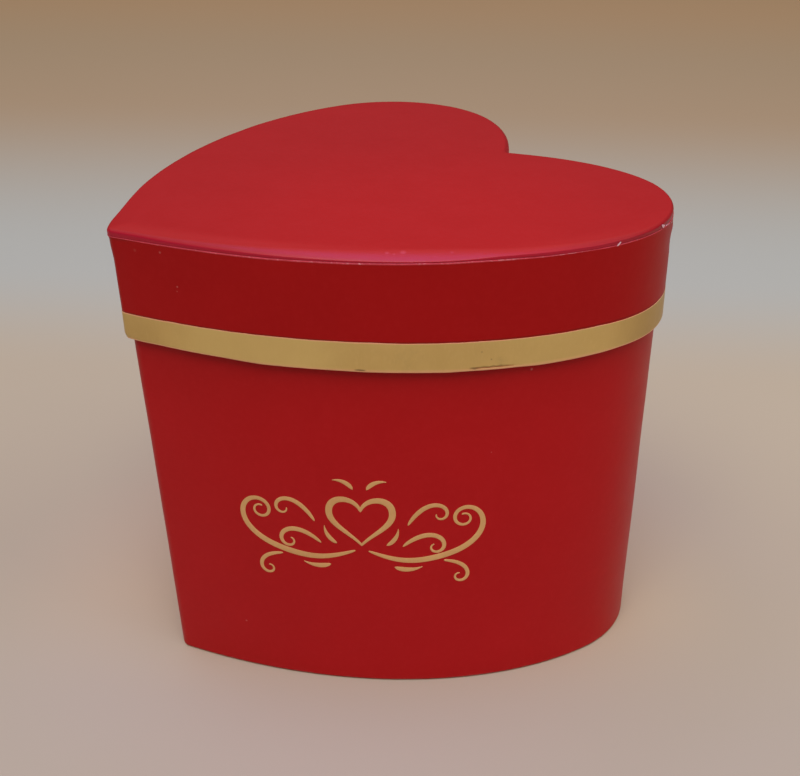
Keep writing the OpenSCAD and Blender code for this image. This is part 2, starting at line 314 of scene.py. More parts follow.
# -------------------------------------------------------------- materials
class Mat:
    """A small helper for a node material with one principled shader."""

    def __init__(self, name):
        self.m = bpy.data.materials.new(name)
        self.m.use_nodes = True
        self.t = self.m.node_tree
        self.t.nodes.clear()
        self.out = self.t.nodes.new("ShaderNodeOutputMaterial")
        self.b = self.t.nodes.new("ShaderNodeBsdfPrincipled")
        self.t.links.new(self.b.outputs[0], self.out.inputs[0])
        self.co = self.t.nodes.new("ShaderNodeTexCoord").outputs["Object"]

    def put(self, **k):
        for name, v in k.items():
            self.b.inputs[name.replace("_", " ")].default_value = v
        return self

    def link(self, a, b):
        self.t.links.new(a, b)

    def feed(self, name, sock):
        self.link(sock, self.b.inputs[name])
        return self

    def node(self, kind, **props):
        n = self.t.nodes.new(kind)
        for k, v in props.items():
            setattr(n, k, v)
        return n

    def stretch(self, v):
        n = self.node("ShaderNodeMapping")
        self.link(self.co, n.inputs[0])
        n.inputs["Scale"].default_value = v
        return n.outputs[0]

    def noise(self, size_mm, detail=2.0, rough=0.5, co=None, dist=0.0, dims="3D"):
        n = self.node("ShaderNodeTexNoise")
        self.link(co or self.co, n.inputs["Vector"])
        n.inputs["Scale"].default_value = 1.0 / (size_mm * MM)
        n.inputs["Detail"].default_value = detail
        n.inputs["Roughness"].default_value = rough
        n.inputs["Distortion"].default_value = dist
        return n.outputs[0]

    def voronoi(self, size_mm, feature="F1", rand=1.0, out="Distance", co=None):
        n = self.node("ShaderNodeTexVoronoi", feature=feature)
        self.link(co or self.co, n.inputs["Vector"])
        n.inputs["Scale"].default_value = 1.0 / (size_mm * MM)
        n.inputs["Randomness"].default_value = rand
        return n

    def remap(self, x, a, b, c, d, smooth=False):
        n = self.node("ShaderNodeMapRange")
        if smooth:
            n.interpolation_type = "SMOOTHSTEP"
        self.link(x, n.inputs[0])
        for i, v in zip((1, 2, 3, 4), (a, b, c, d)):
            n.inputs[i].default_value = v
        return n.outputs[0]

    def math(self, op, a, b=None, c=None):
        n = self.node("ShaderNodeMath", operation=op)
        for i, v in enumerate((a, b, c)):
            if v is None:
                continue
            if isinstance(v, (int, float)):
                n.inputs[i].default_value = v
            else:
                self.link(v, n.inputs[i])
        return n.outputs[0]

    def mix(self, fac, a, b):
        n = self.node("ShaderNodeMix", data_type="RGBA")
        ins = [s for s in n.inputs if s.type == "RGBA"]
        f = n.inputs[0]
        if isinstance(fac, (int, float)):
            f.default_value = fac
        else:
            self.link(fac, f)
        for s, v in zip(ins, (a, b)):
            if isinstance(v, tuple):
                s.default_value = (*v, 1.0)
            else:
                self.link(v, s)
        return [s for s in n.outputs if s.type == "RGBA"][0]

    def tinted(self, fac, a, tint):
        """Colour a, multiplied by a tint by the factor's share."""
        n = self.node("ShaderNodeMix", data_type="RGBA", blend_type="MULTIPLY")
        ins = [s for s in n.inputs if s.type == "RGBA"]
        self.link(fac, n.inputs[0])
        self.link(a, ins[0])
        ins[1].default_value = (*tint, 1.0)
        return [s for s in n.outputs if s.type == "RGBA"][0]

    def near(self, p_mm, r_in, r_out):
        """1 within r_in mm of a point, falling to 0 at r_out."""
        n = self.node("ShaderNodeVectorMath", operation="DISTANCE")
        self.link(self.co, n.inputs[0])
        n.inputs[1].default_value = tuple(x * MM for x in p_mm)
        return self.remap(n.outputs["Value"], r_in * MM, r_out * MM, 1.0, 0.0, True)

    def axis(self, which):
        n = self.node("ShaderNodeSeparateXYZ")
        self.link(self.co, n.inputs[0])
        return n.outputs[which]

    def bump(self, height, strength, dist_mm, normal=None):
        n = self.node("ShaderNodeBump")
        n.inputs["Strength"].default_value = strength
        n.inputs["Distance"].default_value = dist_mm * MM
        self.link(height, n.inputs["Height"])
        if normal is not None:
            self.link(normal, n.inputs["Normal"])
        return n.outputs[0]


def red_paper(name, base, dark, light, rough, spec, edge_z=(), coat=0.0, speck=0.35,
              scuff=0.5, grain=0.35, side=None, marks=(), dust_bumps_and_highlights=(), lines=(), painted_shade_falloff=None,
              painted_tilt_shade=None):
    """Coated coloured paper: soft mottling, fine fibre, a few pale specks, and
    wear along the folded edges given as heights in mm. side is the colour of
    upright faces, a painted reflection and painted shade: a violet tint near a
    place and a darker red beyond it (near colour, far colour, place, two
    distances). marks are single worn spots (place, radii, amount) and bumps are
    specks of dust under the paper (place, radii, amount), raised in the normal
    and painted a paler pink as a painted highlight. lines are thin soiled lines
    at a height, where glue has crept out (height, reach, amount). fade is painted
    shade: the tint that the sheet takes away from a place (place, radii, tint),
    and rolled is painted shade on slightly tilted faces away from a place
    (place, radii, tint)."""
    m = Mat(name)
    m.put(Specular_IOR_Level=spec, IOR=1.5)
    if coat:
        m.put(Coat_Weight=coat, Coat_Roughness=0.3)
    cloud = m.noise(34, 3, 0.55, dist=0.4)
    fine = m.noise(2.2, 3, 0.6)
    c = m.mix(m.remap(cloud, 0.32, 0.68, 0, 1), dark, base)
    c = m.mix(m.math("MULTIPLY", m.remap(fine, 0.45, 0.75, 0, 1), 0.35), c, light)
    # tiny pale specks, each in its own cell and only in a few of them
    v = m.voronoi(9.0)
    spot = m.remap(v.outputs["Distance"], 0.014, 0.03, 1, 0, True)
    pick = m.node("ShaderNodeSeparateColor")
    m.link(v.outputs["Color"], pick.inputs[0])
    rare = m.math("GREATER_THAN", pick.outputs[0], 0.93)
    speckle = m.math("MULTIPLY", m.math("MULTIPLY", spot, rare), speck)
    c = m.mix(speckle, c, (0.72, 0.42, 0.38))
    # painted reflection and shade: upright faces take a violet tint near a place and a darker red beyond it
    if side:
        n = m.node("ShaderNodeSeparateXYZ")
        m.link(m.node("ShaderNodeTexCoord").outputs["Normal"], n.inputs[0])
        near_col, far_col, place, r0, r1 = side
        c = m.mix(m.remap(n.outputs[2], 0.25, 0.95, 1, 0), c, m.mix(m.near(place, r0, r1), far_col, near_col))
    # painted shade: slightly tilted faces are darkened away from a place
    if painted_tilt_shade:
        place, r0, r1, tint = painted_tilt_shade
        k = m.math("MULTIPLY", m.remap(n.outputs[2], 0.935, 0.992, 1, 0, True), m.remap(n.outputs[2], 0.55, 0.85, 0, 1, True))
        k = m.math("MULTIPLY", k, m.math("SUBTRACT", 1.0, m.near(place, r0, r1)))
        c = m.tinted(k, c, tint)
    # painted shade: the colour is tinted darker away from a place
    if painted_shade_falloff:
        place, r0, r1, tint = painted_shade_falloff
        c = m.tinted(m.math("SUBTRACT", 1.0, m.near(place, r0, r1)), c, tint)
    for p, r0, r1, amount in marks:
        k = m.math("MULTIPLY", m.near(p, r0, r1), m.remap(m.noise(0.7, 3, 0.6), 0.3, 0.5, 0.35, 1))
        c = m.mix(m.math("MULTIPLY", k, amount), c, (0.66, 0.22, 0.20))
    wear = None
    z = m.axis(2)
    for lz, reach, amount in lines:
        d = m.math("ABSOLUTE", m.math("SUBTRACT", z, lz * MM))
        k = m.math("MULTIPLY", m.remap(d, 0.2 * reach * MM, reach * MM, 1, 0, True), amount)
        c = m.mix(k, c, (0.20, 0.010, 0.0035))
    broken = m.remap(m.noise(1.6, 4, 0.65), 0.46, 0.62, 0, 1)
    for ez, reach in edge_z:
        d = m.math("ABSOLUTE", m.math("SUBTRACT", z, ez * MM))
        k = m.remap(d, 0.0, reach * MM, 1, 0, True)
        wear = k if wear is None else m.math("MAXIMUM", wear, k)
    if wear is not None:
        wear = m.math("MULTIPLY", m.math("MULTIPLY", wear, broken), scuff)
        c = m.mix(wear, c, (0.55, 0.16, 0.15))
    # a paler pink over each dust speck: a painted highlight where the lump catches the light
    for p, r0, r1, amount in dust_bumps_and_highlights:
        c = m.mix(m.math("MULTIPLY", m.near(p, r0, r1), amount), c, (0.66, 0.07, 0.10))
    m.feed("Base Color", c)
    r = m.remap(m.noise(11, 4, 0.6), 0.3, 0.7, rough - 0.025, rough + 0.03)
    m.feed("Roughness", r)
    fibre = m.noise(0.55, 3, 0.6, co=m.stretch((1.0, 1.0, 0.45)))
    soft = m.noise(7.0, 2, 0.5)
    b = m.bump(fibre, grain, 0.03)
    b = m.bump(soft, 0.25, 0.12, b)
    for p, r0, r1, amount in dust_bumps_and_highlights:
        b = m.bump(m.near(p, 0.3 * r0, r1), 1.0, 0.10, b)
    m.feed("Normal", b)
    return m.m


def plain_paper(name, base, dark, rough=0.72, spec=0.25, fibre_mm=0.5, grain=0.5,
                fleck=(0.6, 0.5, 0.4), fleck_amount=0.12):
    """Uncoated paper with visible fibres and a slight cockle."""
    m = Mat(name)
    m.put(Specular_IOR_Level=spec)
    c = m.mix(m.remap(m.noise(22, 4, 0.6), 0.3, 0.7, 0, 1), dark, base)
    hair = m.noise(1.1, 5, 0.7, co=m.stretch((1, 1, 0.3)), dist=1.2)
    c = m.mix(m.math("MULTIPLY", m.remap(hair, 0.62, 0.72, 0, 1), fleck_amount), c, fleck)
    m.feed("Base Color", c)
    m.feed("Roughness", m.remap(m.noise(6, 3, 0.5), 0.3, 0.7, rough - 0.05, rough + 0.05))
    b = m.bump(m.noise(fibre_mm, 4, 0.65), grain, 0.04)
    b = m.bump(m.noise(14, 2, 0.5), 0.3, 0.2, b)
    m.feed("Normal", b)
    return m.m


def cut_edge(name, base, dark, pale, bits):
    """The raw cut edge of a coloured sheet: the core's pale fibres, showing
    whiter in the places where the edge is frayed (place, reach, amount). Its base
    colour holds a painted highlight as well as the core's own colour."""
    m = Mat(name)
    m.put(Specular_IOR_Level=0.4)
    c = m.mix(m.remap(m.noise(3.5, 3, 0.6), 0.35, 0.65, 0, 1), dark, base)
    fray = m.remap(m.noise(0.9, 3, 0.6), 0.55, 0.66, 0, 1)
    c = m.mix(m.math("MULTIPLY", fray, 0.3), c, pale)
    dash = m.remap(m.noise(1.5, 2, 0.5), 0.49, 0.56, 0, 1)
    for p, r0, r1, amount in bits:
        k = m.math("MULTIPLY", m.near(p, r0, r1), dash)
        c = m.mix(m.math("MULTIPLY", k, amount), c, (0.88, 0.62, 0.62))
    m.feed("Base Color", c)
    m.feed("Roughness", m.remap(m.noise(4, 3, 0.5), 0.3, 0.7, 0.5, 0.6))
    m.feed("Normal", m.bump(m.noise(0.4, 3, 0.6), 0.5, 0.03))
    return m.m


def greyboard(name):
    """Grey pulp board: mixed fibres, dark and pale flecks, layered cut edges."""
    m = Mat(name)
    m.put(Specular_IOR_Level=0.15)
    pulp = m.noise(3.0, 6, 0.7)
    c = m.mix(m.remap(pulp, 0.35, 0.65, 0, 1), (0.33, 0.30, 0.255), (0.50, 0.465, 0.405))
    v = m.voronoi(1.3)
    dark = m.remap(v.outputs["Distance"], 0.03, 0.12, 1, 0)
    pick = m.node("ShaderNodeSeparateColor")
    m.link(v.outputs["Color"], pick.inputs[0])
    c = m.mix(m.math("MULTIPLY", m.math("MULTIPLY", dark, m.math("GREATER_THAN", pick.outputs[1], 0.8)), 0.7),
              c, (0.12, 0.11, 0.12))
    c = m.mix(m.math("MULTIPLY", m.math("MULTIPLY", dark, m.math("LESS_THAN", pick.outputs[1], 0.15)), 0.7),
              c, (0.75, 0.72, 0.66))
    ply = m.noise(0.35, 2, 0.5, co=m.stretch((1, 1, 6)))
    c = m.mix(m.math("MULTIPLY", m.remap(ply, 0.5, 0.7, 0, 1), 0.2), c, (0.26, 0.235, 0.2))
    m.feed("Base Color", c)
    m.feed("Roughness", m.remap(pulp, 0.3, 0.7, 0.85, 0.95))
    m.feed("Normal", m.bump(m.noise(0.8, 5, 0.7), 0.7, 0.08))
    return m.m


def kraft_tape(name):
    m = Mat(name)
    m.put(Specular_IOR_Level=0.3)
    fib = m.noise(1.6, 5, 0.7, co=m.stretch((1, 1, 0.25)), dist=0.8)
    c = m.mix(m.remap(fib, 0.4, 0.65, 0, 1), (0.50, 0.33, 0.17), (0.64, 0.46, 0.27))
    m.feed("Base Color", c)
    m.feed("Roughness", m.remap(fib, 0.3, 0.7, 0.55, 0.7))
    m.feed("Normal", m.bump(fib, 0.5, 0.05))
    return m.m


def wadding(name):
    m = Mat(name)
    m.put(Specular_IOR_Level=0.15, Sheen_Weight=0.4, Sheen_Roughness=0.6)
    v = m.voronoi(0.9)
    c = m.mix(m.remap(v.outputs["Distance"], 0.1, 0.7, 0, 1), (0.72, 0.70, 0.66), (0.88, 0.87, 0.84))
    m.feed("Base Color", c)
    m.feed("Roughness", m.remap(m.noise(2, 3, 0.6), 0.3, 0.7, 0.85, 0.98))
    m.feed("Normal", m.bump(v.outputs["Distance"], 0.8, 0.15))
    return m.m


def gold_foil(name, base, dark, light, rough, metal, smudges=(), scratches=0.5, edges=(),
              edge_highlight_col=None, spots=(), crease_shade_and_marks=(), dark_reflection_and_tarnish=(), pale=()):
    """Satin gold foil: soft cloudy brightness, hair-fine scuffs, finger smudges
    and a brighter line where the foil is cut or folded, which is a painted highlight along the edge."""
    m = Mat(name)
    m.put(Specular_IOR_Level=0.4, Metallic=metal)
    cloud = m.noise(17, 3, 0.55, dist=0.5)
    c = m.mix(m.remap(cloud, 0.32, 0.68, 0, 1), dark, base)
    fine = m.noise(0.8, 4, 0.7, co=m.stretch((1, 1, 0.35)))
    c = m.mix(m.math("MULTIPLY", m.remap(fine, 0.5, 0.72, 0, 1), 0.3 * scratches), c, light)
    z = m.axis(2)
    # painted highlight: a brighter line along the cut and folded edges
    for ez, reach, amount in edges:
        d = m.math("ABSOLUTE", m.math("SUBTRACT", z, ez * MM))
        k = m.math("MULTIPLY", m.remap(d, 0.3 * reach * MM, reach * MM, 1, 0, True), amount)
        c = m.mix(k, c, edge_highlight_col or light)
    for p, r0, r1, amount in spots:
        c = m.mix(m.math("MULTIPLY", m.near(p, r0, r1), amount), c, (0.24, 0.10, 0.04))
    for p, r0, r1, amount in pale:
        c = m.mix(m.math("MULTIPLY", m.near(p, r0, r1), amount), c, (0.85, 0.625, 0.228))
    # darker patches: a painted dark reflection of the surroundings, with some tarnish
    for p, r0, r1, amount in dark_reflection_and_tarnish:
        c = m.mix(m.math("MULTIPLY", m.near(p, r0, r1), amount), c, (0.42, 0.25, 0.08))
    # dark lines along the foil's creases: painted shade in the grooves, with some dark marks
    for p, r0, r1, reach, amount in crease_shade_and_marks:
        d = m.math("ABSOLUTE", m.math("SUBTRACT", m.math("ADD", z, m.remap(m.noise(2.6, 2, 0.5), 0.3, 0.7, -0.2 * MM, 0.2 * MM)),
                                      p[2] * MM))
        k = m.math("MULTIPLY", m.remap(d, 0.25 * reach * MM, reach * MM, 1, 0, True), m.near(p, r0, r1))
        c = m.mix(m.math("MULTIPLY", k, amount), c, (0.24, 0.125, 0.035))
    grime = None
    for p, r0, r1, amount in smudges:
        k = m.math("MULTIPLY", m.near(p, r0, r1), amount)
        grime = k if grime is None else m.math("MAXIMUM", grime, k)
    r = m.remap(m.noise(5, 4, 0.6), 0.3, 0.7, rough - 0.06, rough + 0.07)
    if grime is not None:
        blot = m.remap(m.noise(2.4, 4, 0.6), 0.38, 0.62, 0.15, 1)
        grime = m.math("MULTIPLY", grime, blot)
        c = m.mix(grime, c, (0.16, 0.10, 0.035))
        r = m.math("ADD", r, m.math("MULTIPLY", grime, 0.2))
    m.feed("Base Color", c)
    m.feed("Roughness", r)
    b = m.bump(m.noise(0.5, 3, 0.6), 0.12, 0.02)
    b = m.bump(m.noise(9, 3, 0.5, dist=0.6), 0.35, 0.12, b)
    m.feed("Normal", b)
    return m.m


# the body paper is tinted darker towards its top, under the lid: painted shade
M_BODY = red_paper("red_body_paper", (0.539, 0.0063, 0.0098), (0.514, 0.0055, 0.0084),
                   (0.58, 0.0125, 0.0160), 0.42, 0.16, edge_z=((0.5, 1.0), (RIM_Z, 0.6)),
                   painted_shade_falloff=((0, 0, -300), 408, 440, (0.93, 0.95, 0.92)),
                   marks=(((24.9, -67.3, 21.1), 0.15, 0.5, 0.8), ((85.5, 14.5, 128.6), 0.15, 0.6, 0.7)))
M_SKIRT = red_paper("red_skirt_paper", (0.443, 0.0040, 0.0053), (0.421, 0.0036, 0.0048),
                    (0.48, 0.0088, 0.0108), 0.42, 0.14,
                    marks=(((15.7, -78.4, 164.5), 0.15, 0.55, 0.5), ((8.1, -83.6, 163.8), 0.2, 0.75, 0.16),
                           ((19.5, -75.7, 153.9), 0.12, 0.45, 0.55), ((19.3, -75.9, 152.3), 0.1, 0.35, 0.45)),
                    lines=((SKIRT_Z + BAND_H + 0.2, 0.45, 0.6),))
# the top's satin paper: a painted violet reflection and darker painted shade on its upright faces, painted shade
# that darkens it away from the front and on its slightly tilted faces there, and a painted pale-pink highlight over
# the dust specks
M_TOP = red_paper("red_satin_paper", (0.499, 0.0054, 0.0069), (0.483, 0.0049, 0.0063),
                  (0.518, 0.0099, 0.0120), 0.39, 0.38, speck=0.3,
                  side=((0.515, 0.0045, 0.031), (0.39, 0.0050, 0.018), (50, -45, 168), 80, 115),
                  dust_bumps_and_highlights=(((64.3, -26.1, 169.4), 0.3, 0.9, 0.4), ((65.9, -24.6, 169.3), 0.2, 0.7, 0.3),
                         ((66.5, -21.8, 169.4), 0.4, 1.3, 0.45), ((74.3, -9.4, 169.4), 0.2, 0.9, 0.3)),
                  painted_shade_falloff=((48, 2, 170), 22, 95, (0.915, 1.0, 1.02)),
                  painted_tilt_shade=((70, -18, 168), 30, 60, (0.90, 0.97, 1.0)))
# the pale line's violet-pink colour is partly the paper core and partly a painted highlight on the raised edge
M_CORE = cut_edge("paper_core", (0.71, 0.064, 0.098), (0.60, 0.046, 0.068), (0.88, 0.40, 0.43),
                  bits=(((60.7, -36.7, 167.2), 0.4, 1.4, 0.4), ((62.6, -34.2, 167.2), 0.3, 1.0, 0.45),
                        ((90.3, 24.5, 167.4), 3.0, 7.5, 0.3), ((84.0, 3.5, 167.6), 2.0, 6.0, 0.18)))
M_TEAR = plain_paper("torn_paper_core", (0.98, 0.66, 0.74), (0.95, 0.54, 0.64), rough=0.8)
M_LINING = plain_paper("lining_paper", (0.80, 0.78, 0.735), (0.74, 0.715, 0.67))
M_BASE = red_paper("base_paper", (0.36, 0.012, 0.015), (0.32, 0.01, 0.013),
                   (0.42, 0.03, 0.03), 0.6, 0.2, edge_z=((0.0, 0.4),), grain=0.6)
M_BOARD = greyboard("greyboard")
M_TAPE = kraft_tape("gummed_tape")
M_PAD = wadding("padding")
# the band: a painted highlight along its top and bottom edges, painted shade in its creases and a painted dark
# reflection on the right lobe, besides smudges, spots and tarnish
M_GOLD = gold_foil("gold_foil", (0.76, 0.52, 0.180), (0.70, 0.470, 0.158), (0.88, 0.66, 0.30),
                   0.42, 0.35, edges=((SKIRT_Z + BAND_H, 0.55, 0.8), (SKIRT_Z - 0.05, 1.3, 0.6)),
                   edge_highlight_col=(0.98, 0.52, 0.27),
                   smudges=(((84.0, 3.0, 133.6), 0.5, 3.2, 0.14), ((70.0, -23.0, 137.0), 2.0, 8.0, 0.07)),
                   spots=(((81.7, -2.7, 137.6), 0.1, 0.5, 0.4), ((82.9, 0.2, 134.8), 0.1, 0.45, 0.45)),
                   crease_shade_and_marks=(((61.9, -35.5, 131.75), 0.8, 2.3, 0.42, 0.8), ((83.1, 0.6, 132.35), 2.0, 8.0, 0.4, 0.6),
                            ((80.6, -4.6, 132.15), 0.4, 2.2, 0.5, 0.7)),
                   dark_reflection_and_tarnish=(((88.0, 65.0, 136.0), 5.0, 30.0, 0.52), ((1.0, -84.0, 134.0), 4.0, 16.0, 0.16)),
                   pale=(((36.0, -56.0, 134.0), 16.0, 36.0, 0.5), ((85.0, 22.0, 134.0), 8.0, 24.0, 0.2)))
# a brighter copy of the foil for its cut and folded edges: a painted highlight
M_GOLD_EDGE_HIGHLIGHT = gold_foil("gold_foil_edge_highlight", (1.0, 0.56, 0.30), (0.92, 0.50, 0.26), (1.0, 0.70, 0.42), 0.42, 0.2)
M_ORN = gold_foil("ornament_foil", (0.90, 0.54, 0.22), (0.82, 0.48, 0.19), (0.98, 0.72, 0.45),
                  0.45, 0.3, scratches=0.6)

# ------------------------------------------------------------------- camera
# A camera fitted to the box's edges: turned 54.2 degrees, looking down 32.5
F_PX, FRAME_W, FRAME_H = 1166.038, 800, 776
AZ, PITCH, ROLL = 0.945461, 0.567098, 0.023017
U = 0.925
TX, TZ, DIST = 28.5093, -147.5656, 530.6617
CX, CY = 478.15, 492.2
fw = Vector((-math.sin(AZ) * math.cos(PITCH), math.cos(AZ) * math.cos(PITCH), -math.sin(PITCH)))
right = fw.cross(Vector((0, 0, 1))).normalized()
up = right.cross(fw)
r2 = math.cos(ROLL) * right + math.sin(ROLL) * up
u2 = -math.sin(ROLL) * right + math.cos(ROLL) * up
aim = Vector((TX * math.cos(AZ), TX * math.sin(AZ), TZ))
eye = (aim - fw * DIST) * U + Vector((0, 23.505, BOX_H))
cam_data = bpy.data.cameras.new("camera")
cam = bpy.data.objects.new("camera", cam_data)
bpy.context.scene.collection.objects.link(cam)
rot = Matrix((r2, u2, -fw)).transposed()
cam.matrix_world = Matrix.Translation(eye * MM) @ rot.to_4x4()
cam_data.sensor_width = 36.0
cam_data.lens = F_PX * 36.0 / FRAME_W
cam_data.shift_x = -(CX - FRAME_W / 2) / FRAME_W
cam_data.shift_y = (CY - FRAME_H / 2) / FRAME_W
cam_data.clip_start = 0.01
cam_data.clip_end = 50
bpy.context.scene.camera = cam

# ------------------------------------------------------------ body: pieces
WALL_ROWS = np.concatenate([np.linspace(1.2, 12, 6)[:-1], np.linspace(12, 150, 22)[:-1],
                            np.linspace(150, RIM_Z - 0.8, 4)])


def body_wave(pts, z):
    """How far the covered wall stands off its nominal face (mm), never outward
    by more than a hair near the rim."""
    amp = 0.16 * smoothstep(1, 14, z) * (1 - 0.8 * smoothstep(118, 135, z))
    w = wave(np.column_stack([pts, np.full(len(pts), z)]), 46.0, 3)
    return amp * (w - 0.25)


def body_row(depth, z, waved=True):
    rg = body_ring(depth, z)
    out = body_wave(rg[0], z) if waved else 0.0
    return at(rg, z, out)


def board_end(pairs):
    return [body_row(d, z) for d, z in pairs]


rb = 0.75              # radius of the covered bottom edge
wrap_rows = []
wrap_rows += [body_row(d, z) for d, z in [(12, 0.2), (6, 0.2), (2.5, 0.2)]]
wrap_rows += [body_row(d, z) for d, z in arc((rb, 0.2 + rb), rb, 270, 180, 6)]
wrap_rows += [body_row(0, z) for z in WALL_ROWS]
wrap_rows += [body_row(d, z) for d, z in arc((0.55, RIM_Z - 0.55), 0.55, 180, 90, 5)]
wrap_rows += [body_row(d, z) for d, z in arc((1.35, RIM_Z - 0.55), 0.55, 90, 0, 5)]
wrap_rows += [body_row(1.9, z) for z in (164, 160, RIM_TURN_Z)]
wrap_rows += [body_row(1.7, z) for z in (RIM_TURN_Z, 160, 164)]
wrap_rows += [body_row(d, z) for d, z in arc((1.35, RIM_Z - 0.55), 0.35, 0, 90, 4)]
wrap_rows += [body_row(d, z) for d, z in arc((0.55, RIM_Z - 0.55), 0.35, 90, 180, 4)]
wrap_rows += [body_row(0.2, z) for z in WALL_ROWS[::-1][1:]]
wrap_rows += [body_row(d, z) for d, z in arc((rb, 0.2 + rb), rb - 0.2, 180, 270, 5)]
wrap_rows += [body_row(d, z) for d, z in [(2.5, 0.4), (6, 0.4), (12, 0.4)]]
body_wrap = loft("body_covering_paper", wrap_rows, True, mats=[M_BODY])

right_j = list(range(HALF, RING)) + [0]
left_j = list(range(0, HALF + 1))


def wall_board(name, js):
    loop = []
    loop += [(d, z) for d, z in arc((0.5, 0.7), 0.3, 270, 180, 4)]
    loop += [(0.2, z) for z in WALL_ROWS[1:-1]]
    loop += [(d, z) for d, z in arc((0.5, RIM_Z - 0.5), 0.3, 180, 90, 4)]
    loop += [(d, z) for d, z in arc((1.4, RIM_Z - 0.5), 0.3, 90, 0, 4)]
    loop += [(1.7, z) for z in WALL_ROWS[::-1][1:-1]]
    loop += [(1.7, 0.4)]
    return strip(name, [body_row(d, z)[js] for d, z in loop], mats=[M_BOARD])


board_r = wall_board("wall_board_right_half", right_j)
board_l = wall_board("wall_board_left_half", left_j)

near_point = [j for j in range(RING) if abs(STATION_S[j]) <= 9.2]
near_cleft_l = [j for j in range(0, HALF) if STATION_S[j] < -(SIDE_LEN - 9.2)]
near_cleft_r = [j for j in range(HALF, RING) if STATION_S[j] > SIDE_LEN - 9.2]
near_cleft = near_cleft_r + near_cleft_l
tape_out = np.zeros(RING)
tape_out[near_point + near_cleft] = 0.15


def body_tape(name, js):
    zs = list(np.linspace(2.4, RIM_TURN_Z - 0.1, 16))
    loop = [body_row(1.7, z)[js] for z in zs] + [body_row(1.85, z)[js] for z in zs[::-1]]
    return strip(name, loop, mats=[M_TAPE])


tape_p = body_tape("point_tape", near_point)
tape_c = body_tape("cleft_tape", near_cleft)

lin_z = list(np.linspace(2.4, RIM_TURN_Z, 14))
LIN_TOP = RIM_Z - 4


def lining_row(depth, z, extra=0.0):
    rg = body_ring(depth, z)
    return at(rg, z, body_wave(rg[0], z) - extra)


lin_rows = [lining_row(1.7, z, tape_out) for z in lin_z]
lin_rows += [lining_row(1.9, z) for z in (RIM_TURN_Z + 0.01, 158, LIN_TOP - 0.1)]
lin_rows += [lining_row(2.0, LIN_TOP), lining_row(2.1, LIN_TOP)]
lin_rows += [lining_row(2.15, z) for z in (LIN_TOP - 0.08, 158)]
lin_rows += [lining_row(2.15, z) for z in lin_z[::-1]]
wall_lining = loft("wall_lining_paper", lin_rows, True, mats=[M_LINING])


def plate(name, ring_of, z0, z1, mats, edge=0.3, top=None, bottom=None, steps=None):
    """A flat heart between two heights, its edge eased by edge mm."""
    e = min(edge, (z1 - z0) / 2.001)
    steps = steps or [0.97, 0.9, 0.8, 0.66, 0.5, 0.34, 0.2, 0.08]
    topf = top or (lambda p, s: np.full(len(p), z1))
    botf = bottom or (lambda p, s: np.full(len(p), z0))
    up_rows, ct = disc_rows(ring_of(e + 0.6), topf, steps)
    dn_rows, cb = disc_rows(ring_of(e + 0.6), botf, steps)
    edge_up = [at(ring_of(e - e * math.cos(math.radians(a))), z1 - e + e * math.sin(math.radians(a)))
               for a in np.linspace(0, 90, 4)]
    edge_dn = [at(ring_of(e - e * math.cos(math.radians(a))), z0 + e - e * math.sin(math.radians(a)))
               for a in np.linspace(90, 0, 4)]
    rows = dn_rows[::-1] + [at(ring_of(e + 0.6), z0)] + edge_dn + edge_up \
        + [at(ring_of(e + 0.6), z1)] + up_rows
    return loft(name, rows, False, (cb, ct), mats)


floor_board = plate("floor_blank", lambda d: body_ring(1.7 + d, 0.4), 0.4, 2.4, [M_BOARD])
floor_lining = plate("floor_lining_paper", lambda d: body_ring(2.15 + d, 2.4), 2.4, 2.6,
                     [M_LINING], edge=0.08)
base_sheet = plate("base_sheet", lambda d: body_ring(2.0 + d, 0.0), 0.0, 0.2, [M_BASE], edge=0.08)

# --------------------------------------------------------- body: ornament
_rp, _, _rl = offset_side(RIM_IN + TAPER / 2)
_ok = _rp[:, 0] > 0
_rp, _rl = _rp[_ok][::-1], _rl[_ok][::-1]
_rs = np.concatenate([[0], np.cumsum(np.linalg.norm(np.diff(_rp, axis=0), axis=1))])
_rs += np.linalg.norm(_rp[0] - np.array([0, _rp[0, 1]])) / math.sin(POINT_A) * 1.0


def on_wall(s, z, out):
    """Place on the right wall at distance s from the point, height z, standing
    out mm off the paper."""
    ln = np.interp(s, _rs, _rl)
    p = np.array([np.interp(ln, _l, _p[:, c]) for c in (0, 1)])
    n = np.array([np.interp(ln, _l, _n[:, c]) for c in (0, 1)])
    n /= np.linalg.norm(n)
    q = p - n * body_in(z)
    w = body_wave(q[None, :], z)[0]
    q = q + n * (out + w)
    return np.array([q[0], q[1], z]) * MM


ORN_S, ORN_Z = 77.0, 72.0
CURLS = [
    ((2.6, -12.2), -22, 76, (0.2, 2.4, 0.9, 3.4, 8.4, 16, 30), 2.3, 0.6, 130),
    ((14.6, -9.6), 44, 27, (-2, -4.5, -11, -20, -40), 1.8, 0.5, 70),
    ((29, -16.2), -8, 21, (-2, -6, -13, -26, -44), 1.5, 0.5, 60),
    ((16.4, -0.6), 62, 25, (-2, -3.5, -10, -20, -40), 1.7, 0.5, 66),
    ((11.4, -18.8), -24, 10, (5, 5), 1.9, 0.2, 24),
    ((8.8, -9.4), 30, 8.5, (7, 7), 1.6, 0.2, 24),
    ((2.4, 13.4), 62, 8, (-9, -9), 1.6, 0.2, 24)]


def bend_sum(u, k):
    m = len(k) - 1
    j = min(int(u * m), m - 1)
    f = u * m - j
    return (sum((k[i] + k[i + 1]) / 2 for i in range(j)) + k[j] * f
            + (k[j + 1] - k[j]) * f * f / 2) / m


